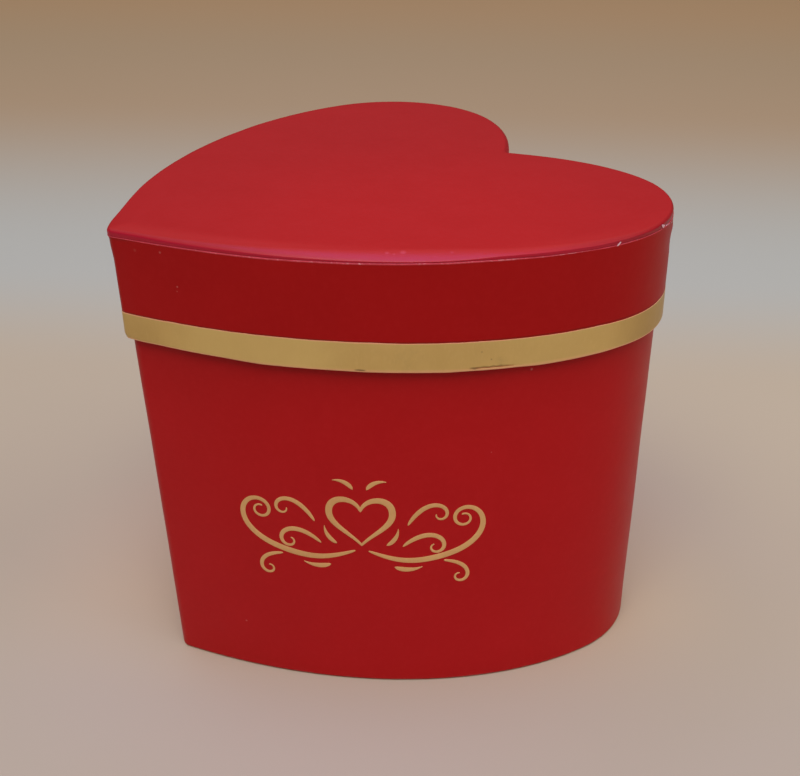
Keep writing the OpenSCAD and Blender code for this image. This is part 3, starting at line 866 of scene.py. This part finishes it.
def curl(start, heading, length, k, w, w0, m):
    us = [1 - (1 - i / m) ** 1.45 for i in range(m + 1)]
    q, pts = np.array(start, float), []
    for i in range(m + 1):
        pts.append(q.copy())
        if i < m:
            a = math.radians(heading + length * bend_sum((us[i] + us[i + 1]) / 2, k))
            q = q + length * (us[i + 1] - us[i]) * np.array([math.cos(a), math.sin(a)])
    wid = [(w0 + (w - w0) * max(0, math.sin(math.pi * u ** 0.65)) ** 0.9) / 2 for u in us]
    return np.array(pts), np.array(wid)


def round_ends(pts, wid, n=4):
    """Adds half-round ends to a stroke."""
    d0 = (pts[0] - pts[1]) / np.linalg.norm(pts[0] - pts[1])
    d1 = (pts[-1] - pts[-2]) / np.linalg.norm(pts[-1] - pts[-2])
    a = [(pts[0] + d0 * wid[0] * math.sin(t), wid[0] * math.cos(t))
         for t in np.linspace(math.pi / 2 * 0.92, 0, n + 1)[:-1]]
    b = [(pts[-1] + d1 * wid[-1] * math.sin(t), wid[-1] * math.cos(t))
         for t in np.linspace(0, math.pi / 2 * 0.92, n + 1)[1:]]
    return (np.vstack([[p for p, _ in a], pts, [p for p, _ in b]]),
            np.concatenate([[w for _, w in a], wid, [w for _, w in b]]))


SECTION = [(-1.0, -0.03), (-1.0, 0.05), (-0.82, 0.10), (-0.4, 0.128), (0.0, 0.134),
           (0.4, 0.128), (0.82, 0.10), (1.0, 0.05), (1.0, -0.03)]


def stroke(pts, wid, closed, base, verts, faces):
    m, k = len(pts), len(SECTION)
    for i in range(m):
        a = pts[(i - 1) % m] if closed else pts[max(i - 1, 0)]
        b = pts[(i + 1) % m] if closed else pts[min(i + 1, m - 1)]
        d = (b - a) / np.linalg.norm(b - a)
        side = np.array([-d[1], d[0]])
        for x, h in SECTION:
            q = pts[i] + side * wid[i] * x
            verts.append(on_wall(ORN_S + q[0], ORN_Z + q[1], h))
    n = m if closed else m - 1
    for i in range(n):
        r0, r1 = base + i * k, base + ((i + 1) % m) * k
        for j in range(k):
            c = (j + 1) % k
            faces.append((r0 + j, r0 + c, r1 + c, r1 + j))
    if not closed:
        faces.append(tuple(base + j for j in range(k)))
        faces.append(tuple(base + (m - 1) * k + j for j in range(k - 1, -1, -1)))


def heart_stroke():
    n = 44
    a = bez(np.array([0, 4.6]), np.array([1.6, 10.6]), np.array([11.2, 11.0]),
            np.array([11, 3.6]), np.linspace(0, 1, n + 1)[:-1])
    b = bez(np.array([11, 3.6]), np.array([10.8, -1.6]), np.array([4.2, -4.4]),
            np.array([0, -9.6]), np.linspace(0, 1, n + 1))
    half = np.vstack([a, b])
    us = np.linspace(0, 1, 2 * n + 1)
    w = (0.9 + 1.5 * np.sin(np.pi * us ** 0.8) ** 1.2) / 2
    pts = np.vstack([half, half[-2:0:-1] * np.array([-1, 1])])
    return pts, np.concatenate([w, w[-2:0:-1]])


ov, of_ = [], []
for c in CURLS:
    p, w = curl(*c)
    p, w = round_ends(p, w)
    stroke(p, w, False, len(ov), ov, of_)
    stroke(p[::-1] * np.array([-1, 1]), w[::-1], False, len(ov), ov, of_)
p, w = heart_stroke()
stroke(p, w, True, len(ov), ov, of_)
ornament = new_object("scroll_ornament", ov, of_, [M_ORN], None, 50)

# --------------------------------------------------------------- lid pieces
# The seam between the top's paper and the skirt's runs a little uneven
SEAM = by_station([(-293, 0.05), (-200, -0.1), (-120, 0.1), (-60, 0.0), (-20, -0.12), (0, -0.18),
                   (35, -0.12), (50, -0.15), (65, -0.05), (90, 0.15), (110, 0.38), (122, 0.46),
                   (132, 0.42), (145, 0.2), (160, 0.05), (172, 0.2), (200, 0.0), (250, 0.05), (293, 0.05)])
_flat = lid_ring(0)[0]
SEAM -= 0.14 * smoothstep(-12, 6, STATION_S) * (1 - smoothstep(105, 125, STATION_S))
SEAM += 0.045 * wave(np.column_stack([_flat, np.zeros(RING)]), 7.0, 31, 2)
SEAM_Z = TOP_Z + SEAM

# How far the padding's soft shoulder reaches in from the edge
SOFT = by_station([(-293, 2.2), (-200, 2.0), (-110, 3.2), (-70, 2.0), (-40, 1.0), (-12, 1.0),
                   (0, 1.0), (12, 1.3), (22, 1.7), (32, 2.1), (50, 3.3), (65, 4.2), (80, 4.8),
                   (95, 5.9), (112, 5.5), (124, 4.4), (131, 4.2), (145, 3.2), (158, 2.4), (172, 1.7),
                   (190, 1.1), (230, 0.9), (250, 1.5), (293, 2.0)])
# the top sags a little towards its edge in places
SAG = by_station([(-293, 0), (-60, 0), (-40, 0.05), (-20, 0.35), (-8, 0.55), (8, 0.6), (19, 0.62), (32, 0.55),
                  (50, 0.42), (65, 0.22), (80, 0.12), (95, 0), (125, 0), (142, 0.16), (158, 0.34),
                  (185, 0.26), (210, 0.08), (240, 0), (293, 0)])
SIDE_IN = 0.15         # the top's side stands in this far from the skirt
TIP_OUT = 0.80 * bell(-5, 9)     # the top's edge overhangs at the point
_edge = lid_ring(SIDE_IN)
EDGE = (_edge[0] + _edge[1] * TIP_OUT[:, None], _edge[1])
DISC = [0.985, 0.96, 0.93, 0.89, 0.84, 0.78, 0.71, 0.63, 0.54, 0.45, 0.36, 0.27, 0.18, 0.09]


def top_height(p, s):
    """Height of the padded top away from its shoulder."""
    return 169.9 + 0.07 * wave(np.column_stack([p, np.zeros(len(p))]), 38.0, 7)


Z_START = by_station([(-293, 168.3), (-110, 168.15), (-40, 168.45), (-12, 168.35), (0, 168.25), (8, 168.15),
                      (19, 168.0), (32, 167.95), (66, 167.8), (80, 167.75), (98, 167.8), (110, 167.95),
                      (118, 168.3), (124, 168.6), (131, 168.65), (145, 168.6), (158, 168.5), (175, 168.55),
                      (230, 168.5), (293, 168.3)])
Z_END = top_height(EDGE[0] - EDGE[1] * SOFT[:, None], 1) - SAG
LUMPS = (0.055 * wave(np.column_stack([_flat, np.zeros(RING)]), 12.0, 11, 2)
         + 0.03 * wave(np.column_stack([_flat, np.zeros(RING)]), 4.0, 12, 1)) \
    * np.clip(SOFT / 3.0, 0.3, 1.0)
# a soft shoulder slopes nearly evenly, a crisp one is a quarter of an ellipse
SLOPE = np.interp(SOFT, [1.2, 2.4, 4.0], [0.1, 0.55, 0.78]) * (1 - 0.45 * bell(128, 9))
BLANK_IN = np.clip(0.36 * (SOFT - 1.6), 0, 2.2)     # the blank's edge keeps under the shoulder
SOFT_ANG = np.radians([0, 5, 10, 15, 20, 26, 33, 41, 50, 60, 70, 80, 90])


def shoulder_row(t, under=0.0):
    """A row of the shoulder at angle t of its rounding, under mm below the
    paper's face."""
    h = Z_END - Z_START
    st, ct = np.sin(t), np.cos(t)
    d = SOFT * (1 - ct)
    z = Z_START + h * ((1 - SLOPE) * st + SLOPE * st * st) + LUMPS * np.sin(2 * t)
    nd, nz = h * ((1 - SLOPE) * ct + 2 * SLOPE * st * ct), SOFT * st
    k = under / np.maximum(np.hypot(nd, nz), 1e-6)
    d, z = d + k * nd, z - k * nz
    return np.column_stack([EDGE[0] - EDGE[1] * d[:, None], z]) * MM


def rim_row(f, under=0.0):
    """A row from the shoulder's end (f = 0) to the flat top 8 mm in (f = 1)."""
    p0, p1 = EDGE[0] - EDGE[1] * SOFT[:, None], lid_ring(8.0)[0]
    q = p0 + (p1 - p0) * f
    return np.column_stack([q, top_height(q, 1) - SAG * (1 - f) ** 2 - under]) * MM


def top_ring(d, under=0.0):
    rg = lid_ring(d)
    return at(rg, top_height(rg[0], 1) - under)


disc_o, cen_o = disc_rows(lid_ring(8.0), top_height, DISC)
disc_i, cen_i = disc_rows(lid_ring(8.0), lambda p, s: top_height(p, s) - 0.2, DISC)
rows = disc_o[::-1] + [top_ring(8.0)]
rows += [rim_row(f) for f in (0.75, 0.5, 0.25)]
rows += [shoulder_row(t) for t in SOFT_ANG[::-1]]
rows += [at(EDGE, np.minimum(Z_START - 0.12, 168.0), 0.02), at(EDGE, np.minimum(SEAM_Z + 0.3, Z_START - 0.16), 0.0),
         at(EDGE, SEAM_Z + 0.1, -0.02), at(EDGE, SEAM_Z + 0.02, -0.08)]
rows += [at(lid_ring(0.85), np.minimum(SEAM_Z + 0.1, 167.3), -0.5 * BLANK_IN), at(lid_ring(3), 167.3), at(lid_ring(8), 167.3)]
rows += [at(lid_ring(8), 167.5), at(lid_ring(3), 167.5), at(lid_ring(0.85), 167.5, -0.5 * BLANK_IN)]
rows += [at(EDGE, 167.8, -0.2)]
rows += [shoulder_row(t, 0.2) for t in SOFT_ANG]
rows += [rim_row(f, 0.2) for f in (0.25, 0.5, 0.75)]
rows += [top_ring(8.0, 0.2)] + disc_i
lid_top = loft("lid_top_satin_paper", rows, False, (cen_o, cen_i), [M_TOP])

def blank_ring(d):
    p, n = lid_ring(0.62 + d)
    return p - n * BLANK_IN[:, None], n


top_board = plate("lid_top_blank", blank_ring, 167.5, 168.6, [M_BOARD], edge=0.25)

# the pad fills the space between the board and the paper
_r = np.clip((168.95 - Z_START) / (Z_END - Z_START), 0.05, 0.95)
_t0 = np.arcsin(2 * _r / ((1 - SLOPE) + np.sqrt((1 - SLOPE) ** 2 + 4 * SLOPE * _r)))
pad_disc, cen_pt = disc_rows(lid_ring(8.0), lambda p, s: top_height(p, s) - 0.24, DISC)
pad_flat, cen_pb = disc_rows(lid_ring(8.0), lambda p, s: np.full(len(p), 168.6), DISC[::2])
rows = pad_flat[::-1] + [at(lid_ring(8.0), 168.6), at(lid_ring(1.3), 168.6, -BLANK_IN),
                         at(lid_ring(0.95), 168.64, -BLANK_IN)]
rows += [shoulder_row(_t0 + (math.pi / 2 - _t0) * f, 0.26) for f in (0, 0.15, 0.3, 0.5, 0.75, 1)]
rows += [rim_row(f, 0.24) for f in (0.25, 0.5, 0.75)] + [top_ring(8.0, 0.24)] + pad_disc
lid_pad = loft("lid_top_padding", rows, False, (cen_pb, cen_pt), [M_PAD])


# skirt
def skirt_wave(pts, z):
    amp = 0.09 * smoothstep(SKIRT_Z + 1, SKIRT_Z + 10, z) * (1 - smoothstep(TOP_Z - 6, TOP_Z - 0.5, z))
    w = amp * np.minimum(wave(np.column_stack([pts, np.full(len(pts), z)]), 30.0, 5) - 0.6, 0)
    # shallow knocks on the right lobe
    w -= 0.20 * bell(203, 6) * math.exp(-((z - 157.3) / 1.8) ** 2)
    w -= 0.12 * bell(186, 4) * math.exp(-((z - 152) / 5.0) ** 2)
    w += 0.30 * bell(202, 8) * math.exp(-((z - 163.2) / 1.4) ** 2)
    w += -TIP_IN * (1 - smoothstep(158, 164, z)) + 0.2 * bell(-5, 9) * smoothstep(157, 166, z)
    return w


# Towards the point the lower edge rises a little, and its corner is rubbed in
TIP_RISE = by_station([(-60, 0), (-46, 0.1), (-36, 0.42), (-25, 0.65), (-13, 0.85), (13, 0.85), (25, 0.65),
                       (36, 0.42), (46, 0.06), (50, 0)])
TIP_RUB = 0.45 * bell(-3, 6)


def low_edge(d, z):
    """Rise and inset of the skirt near its lower edge, at depth d."""
    rub = TIP_RUB * (1 - smoothstep(SKIRT_Z, SKIRT_Z + 2.2, z)) * min(max(1 - d / 1.2, 0.0), 1.0)
    return TIP_RISE * (1 - smoothstep(SKIRT_Z, SKIRT_Z + 5, z)), rub


def skirt_row(d, z, extra=0.0):
    rg = lid_ring(d)
    rise, rub = low_edge(d, z)
    return at(rg, z + rise, skirt_wave(rg[0], float(np.mean(z))) + extra - rub)


SK_LOW = np.concatenate([[SKIRT_Z + 0.6, SKIRT_Z + 2, SKIRT_Z + 5], np.linspace(SKIRT_Z + 9, TOP_Z - 4, 11)])
SK_ROWS = list(SK_LOW) + [TOP_Z - 2.2 + 0.4 * SEAM, SEAM_Z - 1.1]
CUT = by_station([(-293, 0.3), (-20, 0.2), (0, 0.2), (14, 0.26), (30, 0.38), (50, 0.44), (112, 0.44),
                  (128, 0.38), (140, 0.28), (147, 0.11), (154, 0.11), (162, 0.22), (170, 0.22), (178, 0.14),
                  (186, 0.16), (196, 0.25), (293, 0.25)])   # height of the bare cut edge
CUT_OUT = 0.045 * np.clip(CUT / 0.5, 0, 1) + 0.5 * bell(-5, 9)
rows = [skirt_row(d, z) for d, z in arc((0.55, SKIRT_Z + 0.55), 0.55, 270, 180, 5)]
rows += [skirt_row(0, z) for z in SK_ROWS]
k0 = len(rows)
rows += [skirt_row(0.0, SEAM_Z - CUT, 0.6 * CUT_OUT), skirt_row(0.0, SEAM_Z - 0.6 * CUT, CUT_OUT),
         skirt_row(0.0, SEAM_Z - 0.25 * CUT, CUT_OUT), skirt_row(0.06, SEAM_Z - 0.03, CUT_OUT),
         skirt_row(0.14, SEAM_Z, CUT_OUT), skirt_row(0.24, SEAM_Z - 0.01, 0.5 * CUT_OUT)]
k1 = len(rows)
rows += [skirt_row(0.24, SEAM_Z - 0.6)]
rows += [skirt_row(0.2, z) for z in SK_ROWS[::-1][1:]]
rows += [skirt_row(d, z) for d, z in arc((0.55, SKIRT_Z + 0.55), 0.35, 180, 270, 4)]
rows += [skirt_row(d, z) for d, z in arc((0.85, SKIRT_Z + 0.55), 0.35, 270, 360, 4)]
rows += [skirt_row(1.2, z) for z in (SKIRT_Z + 3, SKIRT_Z + 8, SKIRT_TURN_Z)]
rows += [skirt_row(1.4, z) for z in (SKIRT_TURN_Z, SKIRT_Z + 8, SKIRT_Z + 3)]
rows += [skirt_row(d, z) for d, z in arc((0.85, SKIRT_Z + 0.55), 0.55, 360, 270, 5)]
mat_rows = [0] * len(rows)
for i in range(k0, k1):
    mat_rows[i] = 1
skirt_wrap = loft("skirt_covering_paper", rows, True, mats=[M_SKIRT, M_CORE], row_mat=mat_rows)


def absorb(ob, other, mat=None):
    """Adds another object's mesh to ob's, in a material of its own if given."""
    if mat is not None:
        ob.data.materials.append(mat)
    bm = bmesh.new()
    bm.from_mesh(ob.data)
    n0 = len(bm.faces)
    bm.from_mesh(other.data)
    bm.faces.ensure_lookup_table()
    for f in bm.faces[n0:]:
        f.material_index = len(ob.data.materials) - 1 if mat is not None else 0
    bm.to_mesh(ob.data)
    bm.free()
    bpy.data.objects.remove(other)


def on_skirt(s, z, out):
    """Place on the right side of the skirt at distance s from the point."""
    ln = SIDE_LEN - s
    p = np.array([np.interp(ln, _l, _p[:, c]) for c in (0, 1)])
    n = np.array([np.interp(ln, _l, _n[:, c]) for c in (0, 1)])
    q = p + n / np.linalg.norm(n) * (out - 0.02)
    return np.array([q[0], q[1], z]) * MM


def flake(outline, thick=0.07):
    """A torn scrap of paper: its outline as distance along the skirt, height
    and how far it stands off, closed behind by its own thickness."""
    m = len(outline)
    v = [on_skirt(a, z, o) for a, z, o in outline] + [on_skirt(a, z, o - thick) for a, z, o in outline]
    mid = np.mean(v[:m], axis=0), np.mean(v[m:], axis=0)
    v += [mid[0], mid[1]]
    f = []
    for i in range(m):
        k = (i + 1) % m
        f += [(i, k, 2 * m), (m + k, m + i, 2 * m + 1), (i, m + i, m + k, k)]
    return new_object("scrap", v, f, [M_TEAR], None, 30)


for _o in [
        [(165.2, 167.15, 0.04), (165.6, 167.05, 0.04), (166.1, 167.4, 0.06), (166.5, 167.8, 0.09),
         (166.8, 168.2, 0.11), (166.5, 168.35, 0.11), (166.1, 168.1, 0.09), (165.6, 167.65, 0.06)],
        [(187.2, 168.9, 0.10), (187.5, 168.45, 0.08), (188.0, 167.95, 0.07), (188.5, 167.55, 0.05),
         (189.2, 167.6, 0.06), (190.0, 167.85, 0.06), (190.2, 168.15, 0.08), (189.4, 168.35, 0.10),
         (188.6, 168.65, 0.11), (187.9, 168.9, 0.12)],
        [(191.3, 167.45, 0.05), (193.2, 167.1, 0.05), (195.5, 166.75, 0.05), (199.0, 166.1, 0.05),
         (199.2, 166.35, 0.06), (196.5, 166.9, 0.06), (194.2, 167.3, 0.06), (191.8, 167.75, 0.06)]]:
    absorb(skirt_wrap, flake(_o), M_TEAR if len(skirt_wrap.data.materials) < 3 else None)
    # every scrap takes the torn paper, the third material
    for _f in skirt_wrap.data.polygons[-3 * len(_o):]:
        _f.material_index = 2


def overlap(name, row_of, zs, s_from, out, mats):
    """The lap of a wrapped sheet, from s_from on the right side to the cleft."""
    js = [j for j in range(HALF, RING) if STATION_S[j] >= s_from] + [0]
    loop = [row_of(z, out)[js] for z in zs] + [row_of(z, -0.06)[js] for z in zs[::-1]]
    return strip(name, loop, mats=mats)


absorb(body_wrap, overlap("lap", lambda z, o: at(body_ring(0, z), z, body_wave(body_ring(0, z)[0], z) + o),
                          list(np.linspace(1.4, 150, 12)) + [158, RIM_Z - 0.9], 279.5, 0.09, [M_BODY]))
absorb(skirt_wrap, overlap("lap", lambda z, o: skirt_row(0, z, o),
                           list(np.linspace(SKIRT_Z + 0.7, TOP_Z - 2.4, 8)), 281.5, 0.09, [M_SKIRT]))


def skirt_board(name, js):
    top = np.minimum(TOP_Z - 0.05, SEAM_Z - 0.05)
    loop = [skirt_row(d, z)[js] for d, z in [(0.4, SKIRT_Z + 0.2), (0.2, SKIRT_Z + 0.45)]]
    loop += [skirt_row(0.22, z)[js] for z in SK_LOW[1:]]
    loop += [skirt_row(0.26, top)[js], skirt_row(1.18, top)[js]]
    loop += [skirt_row(1.18, z)[js] for z in SK_LOW[::-1][:-1]]
    loop += [skirt_row(d, z)[js] for d, z in [(1.2, SKIRT_Z + 0.45), (1.0, SKIRT_Z + 0.2)]]
    return strip(name, loop, mats=[M_BOARD])


sk_board_r = skirt_board("skirt_board_right_half", right_j)
sk_board_l = skirt_board("skirt_board_left_half", left_j)


def lid_tape(name, js):
    zs = list(np.linspace(SKIRT_TURN_Z + 0.05, TOP_Z - 0.1, 6))
    loop = [skirt_row(1.2, z)[js] for z in zs] + [skirt_row(1.35, z)[js] for z in zs[::-1]]
    return strip(name, loop, mats=[M_TAPE])


sk_tape_p = lid_tape("skirt_point_tape", near_point)
sk_tape_c = lid_tape("skirt_cleft_tape", near_cleft)

sl_z = list(np.linspace(SKIRT_TURN_Z + 0.05, TOP_Z - 0.05, 7))
rows = [skirt_row(1.42, SKIRT_Z + 4.1), skirt_row(1.42, SKIRT_TURN_Z)]
rows += [skirt_row(1.2, z, -tape_out) for z in sl_z]
rows += [skirt_row(1.6, z) for z in sl_z[::-1]]
rows += [skirt_row(1.6, SKIRT_TURN_Z), skirt_row(1.6, SKIRT_Z + 4.1), skirt_row(1.51, SKIRT_Z + 4.0)]
skirt_lining = loft("skirt_lining_paper", rows, True, mats=[M_LINING])

# lining under the top: its middle lies on the board, its border on the turn-in
tl_disc_t, tl_ct = disc_rows(lid_ring(8.4), lambda p, s: np.full(len(p), 167.5), DISC[::2])
tl_disc_b, tl_cb = disc_rows(lid_ring(8.4), lambda p, s: np.full(len(p), 167.28), DISC[::2])
rows = tl_disc_b[::-1]
rows += [at(lid_ring(8.4), 167.28), at(lid_ring(7.8), 167.1), at(lid_ring(4), 167.1), at(lid_ring(1.75), 167.1)]
rows += [at(lid_ring(1.65), 167.16), at(lid_ring(1.65), 167.3), at(lid_ring(4), 167.3), at(lid_ring(7.9), 167.3)]
rows += [at(lid_ring(8.05), 167.5), at(lid_ring(8.4), 167.5)]
rows += tl_disc_t
top_lining = loft("top_lining_paper", rows, False, (tl_cb, tl_ct), [M_LINING])


# gold band
B0, B1 = SKIRT_Z - 0.15, SKIRT_Z + BAND_H
LIP = 0.14 * smoothstep(114, 119, STATION_S) * (1 - smoothstep(130, 133.5, STATION_S))
STEP = by_station([(-293, 0), (-10, 0), (8, 0.22), (15, 0.22), (28, 0.12), (40, 0.1), (50, 0), (70, 0.10),
                   (77, 0.10), (82, -0.06), (95, 0), (103, -0.08), (109, -0.18), (114, -0.05), (118, 0),
                   (127, 0), (131, 0.05), (135, -0.05), (139, -0.2), (146, -0.18), (154, -0.05), (163, 0),
                   (170, 0.2), (176, 0.24), (184, 0.1), (200, 0), (293, 0)])
STEP_TOP = by_station([(-293, 0), (85, 0), (95, -0.14), (125, -0.14), (150, -0.18), (166, -0.28), (182, -0.28),
                       (192, 0), (293, 0)])


def band_row(d, z, edge=0.0):
    """edge scales how much the cut edge wanders up and down."""
    rg = lid_ring(d)
    p3 = np.column_stack([rg[0], np.full(len(rg[0]), z)])
    zz = z + edge * (0.10 * wave(p3, 11.0, 21, 2) + 0.05 * wave(p3, 3.0, 23, 1))
    low = 1 - smoothstep(B0 + 0.6, B0 + 1.8, z)
    zz = zz + STEP * low + STEP_TOP * smoothstep(B1 - 2.2, B1 - 1.2, z)
    # a crease where the foil has lifted off its lower edge
    crease = np.exp(-((z - (B0 + 0.95)) / 0.2) ** 2) - 0.35 * np.exp(-((z - (B0 + 0.5)) / 0.25) ** 2)
    dent = 0.07 * bell(123, 1.6) * math.exp(-((z - (B0 + 4.2)) / 1.5) ** 2) \
        + 0.06 * bell(119.6, 1.2) * math.exp(-((z - (B0 + 6.6)) / 1.1) ** 2)
    thick = 0.0 if d > -0.05 and z > B0 + 0.6 else 1.0
    rise, rub = low_edge(d, z)
    return at(rg, zz + rise, skirt_wave(rg[0], z) - thick * (LIP * crease + dent) - rub)


rows = [band_row(0.34, B0 - 0.0, 0.2), band_row(0.16, B0 + 0.03, 0.5), band_row(0.0, B0 + 0.16, 0.6),
        band_row(-0.09, B0 + 0.36, 0.4)]
rows += [band_row(-0.12, B0 + h) for h in (0.55, 0.75, 0.9, 1.0, 1.15, 1.35, 1.7)]
rows += [band_row(-0.12, z) for z in np.linspace(B0 + 2.3, B1 - 1, 10)]
rows += [band_row(-0.12, B1 - 0.2, 0.8), band_row(-0.09, B1 - 0.03, 1.0), band_row(-0.02, B1, 1.0)]
rows += [band_row(0.02, B1 - 0.15, 0.8)]
rows += [band_row(0.0, z) for z in np.linspace(B1 - 1, B0 + 2, 8)]
rows += [band_row(0.03, B0 + 0.9), band_row(0.12, B0 + 0.42, 0.4), band_row(0.3, B0 + 0.16, 0.3)]
n_low = 4
# the lowest rows and three rows at the top edge take the brighter foil: a painted highlight along the edges
mat_rows = [1] * n_low + [0] * (len(rows) - n_low)
k_top = n_low + 7 + 10
for i in range(k_top, k_top + 3):
    mat_rows[i] = 1
gold_band = loft("gold_foil_band", rows, True, mats=[M_GOLD, M_GOLD_EDGE_HIGHLIGHT], row_mat=mat_rows)
absorb(gold_band, overlap("lap", lambda z, o: skirt_row(-0.12, z, o),
                          list(np.linspace(B0 + 0.5, B1 - 0.12, 5)), 276.0, 0.07, [M_GOLD]))

# ----------------------------------------------------------- riding: each piece on its body, its CAD part hidden
for piece, node, body, slot in [
        (body_wrap, "body_wrap", "base", "red_body_paper"),
        (board_r, "wall_board_right", "base", "greyboard"),
        (board_l, "wall_board_left", "base", "greyboard"),
        (tape_p, "point_stay_tape", "base", "gummed_tape"),
        (tape_c, "cleft_stay_tape", "base", "gummed_tape"),
        (wall_lining, "wall_lining", "base", "lining_paper"),
        (floor_board, "floor_board", "base", "greyboard"),
        (floor_lining, "floor_lining", "base", "lining_paper"),
        (base_sheet, "base_cover_sheet", "base", "base_paper"),
        (ornament, "foil_ornament", "base", "ornament_foil"),
        (lid_top, "lid_top_paper", "lid", "red_satin_paper"),
        (top_board, "lid_top_board", "lid", "greyboard"),
        (lid_pad, "lid_top_pad", "lid", "padding"),
        (skirt_wrap, "lid_skirt_wrap", "lid", "red_skirt_paper"),
        (sk_board_r, "lid_skirt_board_right", "lid", "greyboard"),
        (sk_board_l, "lid_skirt_board_left", "lid", "greyboard"),
        (sk_tape_p, "lid_point_stay_tape", "lid", "gummed_tape"),
        (sk_tape_c, "lid_cleft_stay_tape", "lid", "gummed_tape"),
        (skirt_lining, "lid_skirt_lining", "lid", "lining_paper"),
        (top_lining, "lid_top_lining", "lid", "lining_paper"),
        (gold_band, "gold_band", "lid", "gold_foil")]:
    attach(piece, body)
    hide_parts(node)

# ------------------------------------------------------------ stage and light
def floor_material():
    m = Mat("floor_with_painted_light")
    m.put(Specular_IOR_Level=0.2, Roughness=0.7)
    # painted light: the floor's tint and brightness change with the distance along one direction, away from the
    # camera, a painted fall-off of the light across the floor together with a change of tint
    d = m.node("ShaderNodeVectorMath", operation="DOT_PRODUCT")
    m.link(m.co, d.inputs[0])
    d.inputs[1].default_value = (-0.811, 0.585, 0.0)
    t = d.outputs["Value"]
    c = m.mix(m.remap(m.noise(900, 2, 0.5), 0.3, 0.7, 0, 1), (0.500, 0.465, 0.342), (0.515, 0.478, 0.350))
    c = m.mix(m.remap(t, -0.11, -0.02, 0, 1, True), c, (0.524, 0.478, 0.330))
    c = m.mix(m.remap(t, -0.02, 0.17, 0, 1, True), c, (0.582, 0.533, 0.357))
    # painted light: around the box's foot the floor is lighter and warmer, a painted pool of light with the box's
    # red bounce in place of its contact shadow
    r = m.node("ShaderNodeVectorMath", operation="LENGTH")
    m.link(m.co, r.inputs[0])
    by = m.mix(m.remap(t, -0.09, -0.01, 0, 1, True), (0.54, 0.495, 0.388), (0.625, 0.54, 0.365))
    c = m.mix(m.remap(r.outputs["Value"], 0.09, 0.165, 1, 0, True), c, by)
    c = m.mix(m.remap(t, 0.18, 0.34, 0, 1, True), c, (0.536, 0.588, 0.478))
    c = m.mix(m.remap(t, 0.36, 0.78, 0, 1, True), c, (0.533, 0.415, 0.245))
    c = m.mix(m.remap(t, 0.95, 1.35, 0, 1, True), c, (0.590, 0.412, 0.225))
    m.feed("Base Color", c)
    return m.m


me = bpy.data.meshes.new("floor")
R = 9.0
me.from_pydata([(-R, -R, 0), (R, -R, 0), (R, R, 0), (-R, R, 0)], [], [(0, 1, 2, 3)])
me.materials.append(floor_material())
floor = bpy.data.objects.new("floor", me)
bpy.context.scene.collection.objects.link(floor)

DOME_LOW = (0.060, 0.058, 0.058)
DOME_HIGH = (0.63, 0.57, 0.50)
world = bpy.data.worlds.new("world")
bpy.context.scene.world = world
world.use_nodes = True
wt = world.node_tree
bg = wt.nodes["Background"]
# a soft dome: dim at the horizon, bright and even higher up
wco = wt.nodes.new("ShaderNodeTexCoord")
wsep = wt.nodes.new("ShaderNodeSeparateXYZ")
wt.links.new(wco.outputs["Generated"], wsep.inputs[0])
wmap = wt.nodes.new("ShaderNodeMapRange")
wmap.interpolation_type = "SMOOTHSTEP"
wt.links.new(wsep.outputs[2], wmap.inputs[0])
wmap.inputs[1].default_value, wmap.inputs[2].default_value = 0.35, 0.80
wmix = wt.nodes.new("ShaderNodeMix")
wmix.data_type = "RGBA"
wt.links.new(wmap.outputs[0], wmix.inputs[0])
wc = [k for k in wmix.inputs if k.type == "RGBA"]
wc[0].default_value = (DOME_LOW[0], DOME_LOW[1], DOME_LOW[2], 1)
wc[1].default_value = (DOME_HIGH[0], DOME_HIGH[1], DOME_HIGH[2], 1)
wt.links.new([k for k in wmix.outputs if k.type == "RGBA"][0], bg.inputs[0])
bg.inputs[1].default_value = 1.0


def softbox(name, pos, target, w, h, power, color):
    ld = bpy.data.lights.new(name, "AREA")
    ld.shape = "RECTANGLE"
    ld.size, ld.size_y = w, h
    ld.energy = power
    ld.color = color
    ob = bpy.data.objects.new(name, ld)
    bpy.context.scene.collection.objects.link(ob)
    ob.location = pos
    d = Vector(target) - Vector(pos)
    ob.rotation_euler = d.to_track_quat("-Z", "Y").to_euler()
    return ob


softbox("overhead", (0.0, 0.0, 1.45), (0, 0, 0.17), 1.0, 0.8, 8.6, (0.36, 0.27, 0.88))
softbox("key", (0.70, -0.55, 1.60), (0, 0, 0.09), 1.2, 0.9, 12.4, (1.0, 0.93, 0.86))
softbox("fill_side", (1.2, 0.75, 0.9), (0, 0, 0.09), 0.8, 0.8, 2.7, (1.0, 0.93, 0.86))

bpy.context.scene.view_settings.view_transform = "Standard"
bpy.context.scene.view_settings.look = "None"
